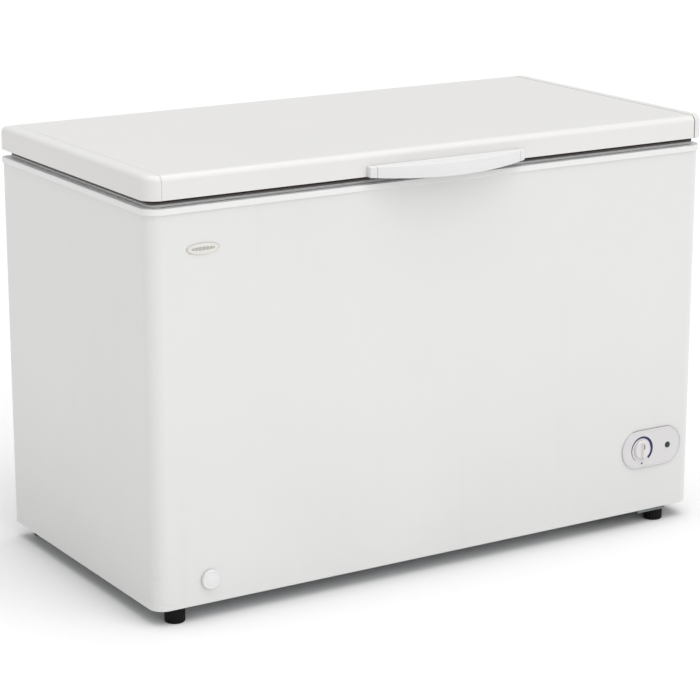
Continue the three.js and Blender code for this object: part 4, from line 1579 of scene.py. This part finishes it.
@dataclass
class Machinery:
    """The machine bay: compressor, mounts, drier, pipework, covers and base.

    Attributes:
        x: the compressor's middle.
        y: its place from front to back.
        radius: its radius.
        bottom: its height above the floor.
        top: the height of its crown.
    """

    x: float = 0.490
    y: float = 0.140
    radius: float = 0.070
    bottom: float = 0.040
    top: float = 0.196

    def build(self, shop: Workshop) -> None:
        """Builds the machinery and the covers round it."""
        self.build_compressor(shop)
        for i, (dx, dy) in enumerate(((-0.074, -0.05), (0.074, -0.05), (-0.074, 0.05), (0.074, 0.05)), 1):
            self.build_grommet(shop, f"compressor_grommet_{i}", dx, dy)
        drier = [(0, 0.096), (0.003, 0.096), (0.0036, 0.099), (0.0095, 0.105), (0.010, 0.107), (0.010, 0.175)]
        drier += [(0.0095, 0.177), (0.0036, 0.183), (0.003, 0.186), (0, 0.186)]
        bm = posed(turned(drier, 28), (0.400, -0.060, 0.0))
        shop.fit("drier_shell", bm, "cabinet", COPPER, ("filter_drier",), crease=40.0)
        shop.refine("terminal_cover", "cabinet", BLACK, 0.0025, 3)
        shop.refine("compressor_plate", "cabinet", DULL_ZINC, 0.0006)
        shop.refine("side_grille", "cabinet", MOULDING, 0.0007)
        shop.refine("rear_cover", "cabinet", ZINC, 0.0003)
        self.build_gland(shop)
        shop.dress(COPPER, "condenser_coil", "suction_line", "capillary_tube")
        shop.dress(DRAWN, "evaporator_coil")
        heads = [(x, 0.3035, z) for x in (0.377, 0.555) for z in (0.045, 0.241)]
        shop.fit("rear_screws", screws(heads, Facing.BACK), "cabinet", PLATED, crease=40.0)

    def build_compressor(self, shop: Workshop) -> None:
        """Builds the welded compressor pot on its cradle."""
        r, low, high = self.radius, self.bottom, self.top
        seam = (low + high) / 2 - 0.006
        profile = [
            (0, low + 0.006), (r * 0.5, low + 0.006), (r * 0.75, low + 0.010), (r * 0.9, low + 0.018),
            (r - 0.003, low + 0.036), (r - 0.003, seam - 0.003), (r - 0.0005, seam - 0.0028),
            (r - 0.0005, seam + 0.0028), (r - 0.003, seam + 0.003), (r - 0.003, high - 0.036),
            (r * 0.93, high - 0.020), (r * 0.8, high - 0.009), (r * 0.55, high - 0.003), (0, high),
        ]
        cradle = Plan(0.085, 0.062, 0.012, 0.012)
        plate = swept([(cradle, low), (cradle, low + 0.003), (cradle.grown(-0.0008), low + 0.0038)], 6, False)
        drill = [(0, low - 0.01), (0.0065, low - 0.01), (0.0065, low + 0.02), (0, low + 0.02)]
        holes = [
            posed(turned(drill, 24), (sx * 0.074, sy * 0.05, 0))
            for sx in (-1, 1)
            for sy in (-1, 1)
        ]
        bm = posed(together(turned(profile, 56), carved(plate, holes)), (self.x, self.y, 0.0))
        shop.fit("compressor_pot", bm, "cabinet", ENGINE, ("compressor",), crease=40.0)

    def build_grommet(self, shop: Workshop, node: str, dx: float, dy: float) -> None:
        """Builds one rubber mount under the compressor.

        Args:
            shop: the workshop.
            node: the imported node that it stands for.
            dx: its place along X from the compressor.
            dy: its place along Y from the compressor.
        """
        profile = [
            (0, 0.0298), (0.0100, 0.0298), (0.0110, 0.0306), (0.0104, 0.0330), (0.0110, 0.0350),
            (0.0106, 0.0397), (0.0060, 0.0397), (0.0056, 0.0460), (0.0060, 0.0480), (0.0044, 0.0520),
            (0, 0.0520),
        ]
        bm = posed(turned(profile, 24), (self.x + dx, self.y + dy, 0.0))
        shop.fit(f"{node}_moulded", bm, "cabinet", RUBBER, (node,), crease=40.0)

    @staticmethod
    def build_gland(shop: Workshop) -> None:
        """Builds the ribbed bush that a mains lead would leave through."""
        profile = [
            (0.0036, -0.0120), (0.0076, -0.0120), (0.0080, -0.0112),
            (0.0080, -0.0003), (0.0128, 0.0003), (0.0130, 0.0012),
        ]
        for k in range(4):
            z, r = 0.004 + 0.0042 * k, 0.0118 - 0.0009 * k
            profile += [(r, z), (r, z + 0.0024), (r - 0.0016, z + 0.0026), (r - 0.0016, z + 0.0040)]
        profile += [(0.0074, 0.0198), (0.0036, 0.0200), (0.0036, -0.0120)]
        bm = posed(turned(profile, 28), (0.430, 0.3038, 0.080), Facing.BACK)
        shop.fit("lead_gland", bm, "cabinet", RUBBER, ("cord_grommet",), crease=40.0)


@dataclass
class Basket:
    """A coated wire basket that hangs from the rim's ledge and slides along it.

    Attributes:
        left: its left end.
        right: its right end.
        half_y: half its depth.
        top: the height of its rim.
        bottom: the height of its floor.
        corner: the bend radius of its frames.
    """

    left: float = 0.152
    right: float = 0.528
    half_y: float = 0.220
    top: float = 0.7530
    bottom: float = 0.5590
    corner: float = 0.028

    def build(self, shop: Workshop) -> None:
        """Builds the frames, the bars and the four hooks."""
        frames = []
        for z, inset in ((self.top, 0.0), (self.top - 0.045, 0.0016), (self.bottom + 0.075, 0.006)):
            x0, x1, y = self.left + inset, self.right - inset, self.half_y - inset
            corners = [(x0, -y, z), (x1, -y, z), (x1, y, z), (x0, y, z)]
            frames.append(bent(corners, self.corner, 8, True))
        thick = tubes(frames, 0.0028, ring=True)
        parts = [thick, tubes(self.bars(), 0.0013), self.hooks()]
        shop.fit("wire_basket", together(*parts), "basket", WIRE, ("basket",), crease=60.0)

    def bars(self) -> list[list[Vector]]:
        """Returns the paths of the thin bars, each down one wall, over the floor and up the other."""
        paths = []
        lean = 0.008
        y, x0, x1 = self.half_y - 0.003, self.left + 0.003, self.right - 0.003
        count = 15
        for k in range(1, count):
            x = x0 + (x1 - x0) * k / count
            low = x + (self.left + self.right - 2 * x) * 0.02
            foot = y - lean
            path = [(x, -y, self.top), (low, -foot, self.bottom), (low, foot, self.bottom), (x, y, self.top)]
            paths.append(bent(path, 0.016))
        count = 17
        for k in range(1, count):
            at = -y + 2 * y * k / count
            low = at * 0.98
            floor = self.bottom + 0.0026
            path = [(x0, at, self.top), (x0 + lean, low, floor), (x1 - lean, low, floor), (x1, at, self.top)]
            paths.append(bent(path, 0.016))
        return paths

    def hooks(self) -> BMesh:
        """Returns the bent ends that rest on the ledge."""
        paths = []
        reach, seat = 0.2515, 0.7596
        for x in (self.left + 0.031, self.right - 0.031):
            for side in (-1, 1):
                inner, low = side * (self.half_y - 0.0042), self.top - 0.045
                corners = [(x, inner, low), (x, inner, seat), (x, side * reach, seat)]
                paths.append(bent(corners, 0.005))
        return tubes(paths, 0.0020)


# ------------------------------------------------------------------ studio


@dataclass
class Studio:
    """A pale floor, soft light and the camera.

    Attributes:
        azimuth: the camera's turn round the object, in degrees.
        elevation: its height above the horizon, in degrees.
        place: where it stands, about the cabinet's middle.
        lens: its focal length in millimetres.
    """

    azimuth: float = -31.775
    elevation: float = 15.0
    place: Point = (-2.490, -3.994, 1.625)
    lens: float = 126.7

    def build(self, shift: float) -> None:
        """Builds the floor, the lights and the camera.

        Args:
            shift: how far the cabinet's middle lies along Y.
        """
        self.build_floor()
        self.build_world()
        self.build_sun("front", 0.82, (0.27, -0.9, 0.72), 60.0)
        self.build_sun("top", 1.36, (0.04, -0.10, 1.0), 60.0)
        self.build_camera(shift)

    @staticmethod
    def build_floor() -> None:
        """Builds a wide, plain, pale floor."""
        bm = bmesh.new()
        bmesh.ops.create_grid(bm, x_segments=8, y_segments=8, size=70.0)
        data = bpy.data.meshes.new("floor")
        bm.to_mesh(data)
        bm.free()
        finish = Finish("studio_floor", (0.88, 0.88, 0.88), 0.8, mottle=0.01, cloud=0.6)
        data.materials.append(material_of(finish))
        floor = bpy.data.objects.new("floor", data)
        bpy.context.scene.collection.objects.link(floor)

    @staticmethod
    def build_world() -> None:
        """Fills the room with even white light."""
        world = bpy.data.worlds.new("studio")
        world.use_nodes = True
        background = world.node_tree.nodes["Background"]
        background.inputs["Color"].default_value = (1.0, 1.0, 1.0, 1.0)
        background.inputs["Strength"].default_value = 0.64
        bpy.context.scene.world = world
        bpy.context.scene.view_settings.view_transform = "Standard"

    @staticmethod
    def build_sun(name: str, power: float, direction: Point, spread: float) -> None:
        """Hangs one broad, soft light that reaches the floor evenly.

        Args:
            name: its name.
            power: its strength in watts to the square metre.
            direction: the way from the object towards it.
            spread: how wide it looks, in degrees.
        """
        data = bpy.data.lights.new(name, "SUN")
        data.energy = power
        data.angle = math.radians(spread)
        lamp = bpy.data.objects.new(name, data)
        lamp.rotation_euler = (-Vector(direction)).to_track_quat("-Z", "Y").to_euler()
        bpy.context.scene.collection.objects.link(lamp)

    def build_camera(self, shift: float) -> None:
        """Stands the camera.

        Args:
            shift: how far the cabinet's middle lies along Y.
        """
        turn, rise = math.radians(self.azimuth), math.radians(self.elevation)
        back = Vector((math.sin(turn) * math.cos(rise), -math.cos(turn) * math.cos(rise), math.sin(rise)))
        data = bpy.data.cameras.new("camera")
        data.lens = self.lens
        data.sensor_width = 36.0
        data.clip_end = 60.0
        camera = bpy.data.objects.new("camera", data)
        camera.location = Vector(self.place) + Vector((0.0, shift, 0.0))
        camera.rotation_euler = (-back).to_track_quat("-Z", "Y").to_euler()
        bpy.context.scene.collection.objects.link(camera)
        bpy.context.scene.camera = camera


def main() -> None:
    """Builds the studio and every sub-assembly."""
    logging.basicConfig(level=logging.INFO, format="%(message)s")
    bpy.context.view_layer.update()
    low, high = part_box("outer_shell")
    shop = Workshop(shift=(low.y + high.y) / 2)
    Studio().build(shop.shift)
    feet = (
        Foot("foot_front_left", -0.561, -0.279, 0.030),
        Foot("foot_front_right", 0.534, -0.279, 0.0235),
        Foot("foot_rear_left", -0.561, 0.279, 0.030),
        Foot("foot_rear_right", 0.534, 0.279, 0.0235),
    )
    hinges = (Hinge("left", -0.420), Hinge("right", 0.420))
    for assembly in (Cabinet(), Lid(), Controls(), Drain(), Badge(), *feet, *hinges, Machinery(), Basket()):
        assembly.build(shop)
        LOG.info("%s is done", type(assembly).__name__)


if __name__ == "__main__":
    main()
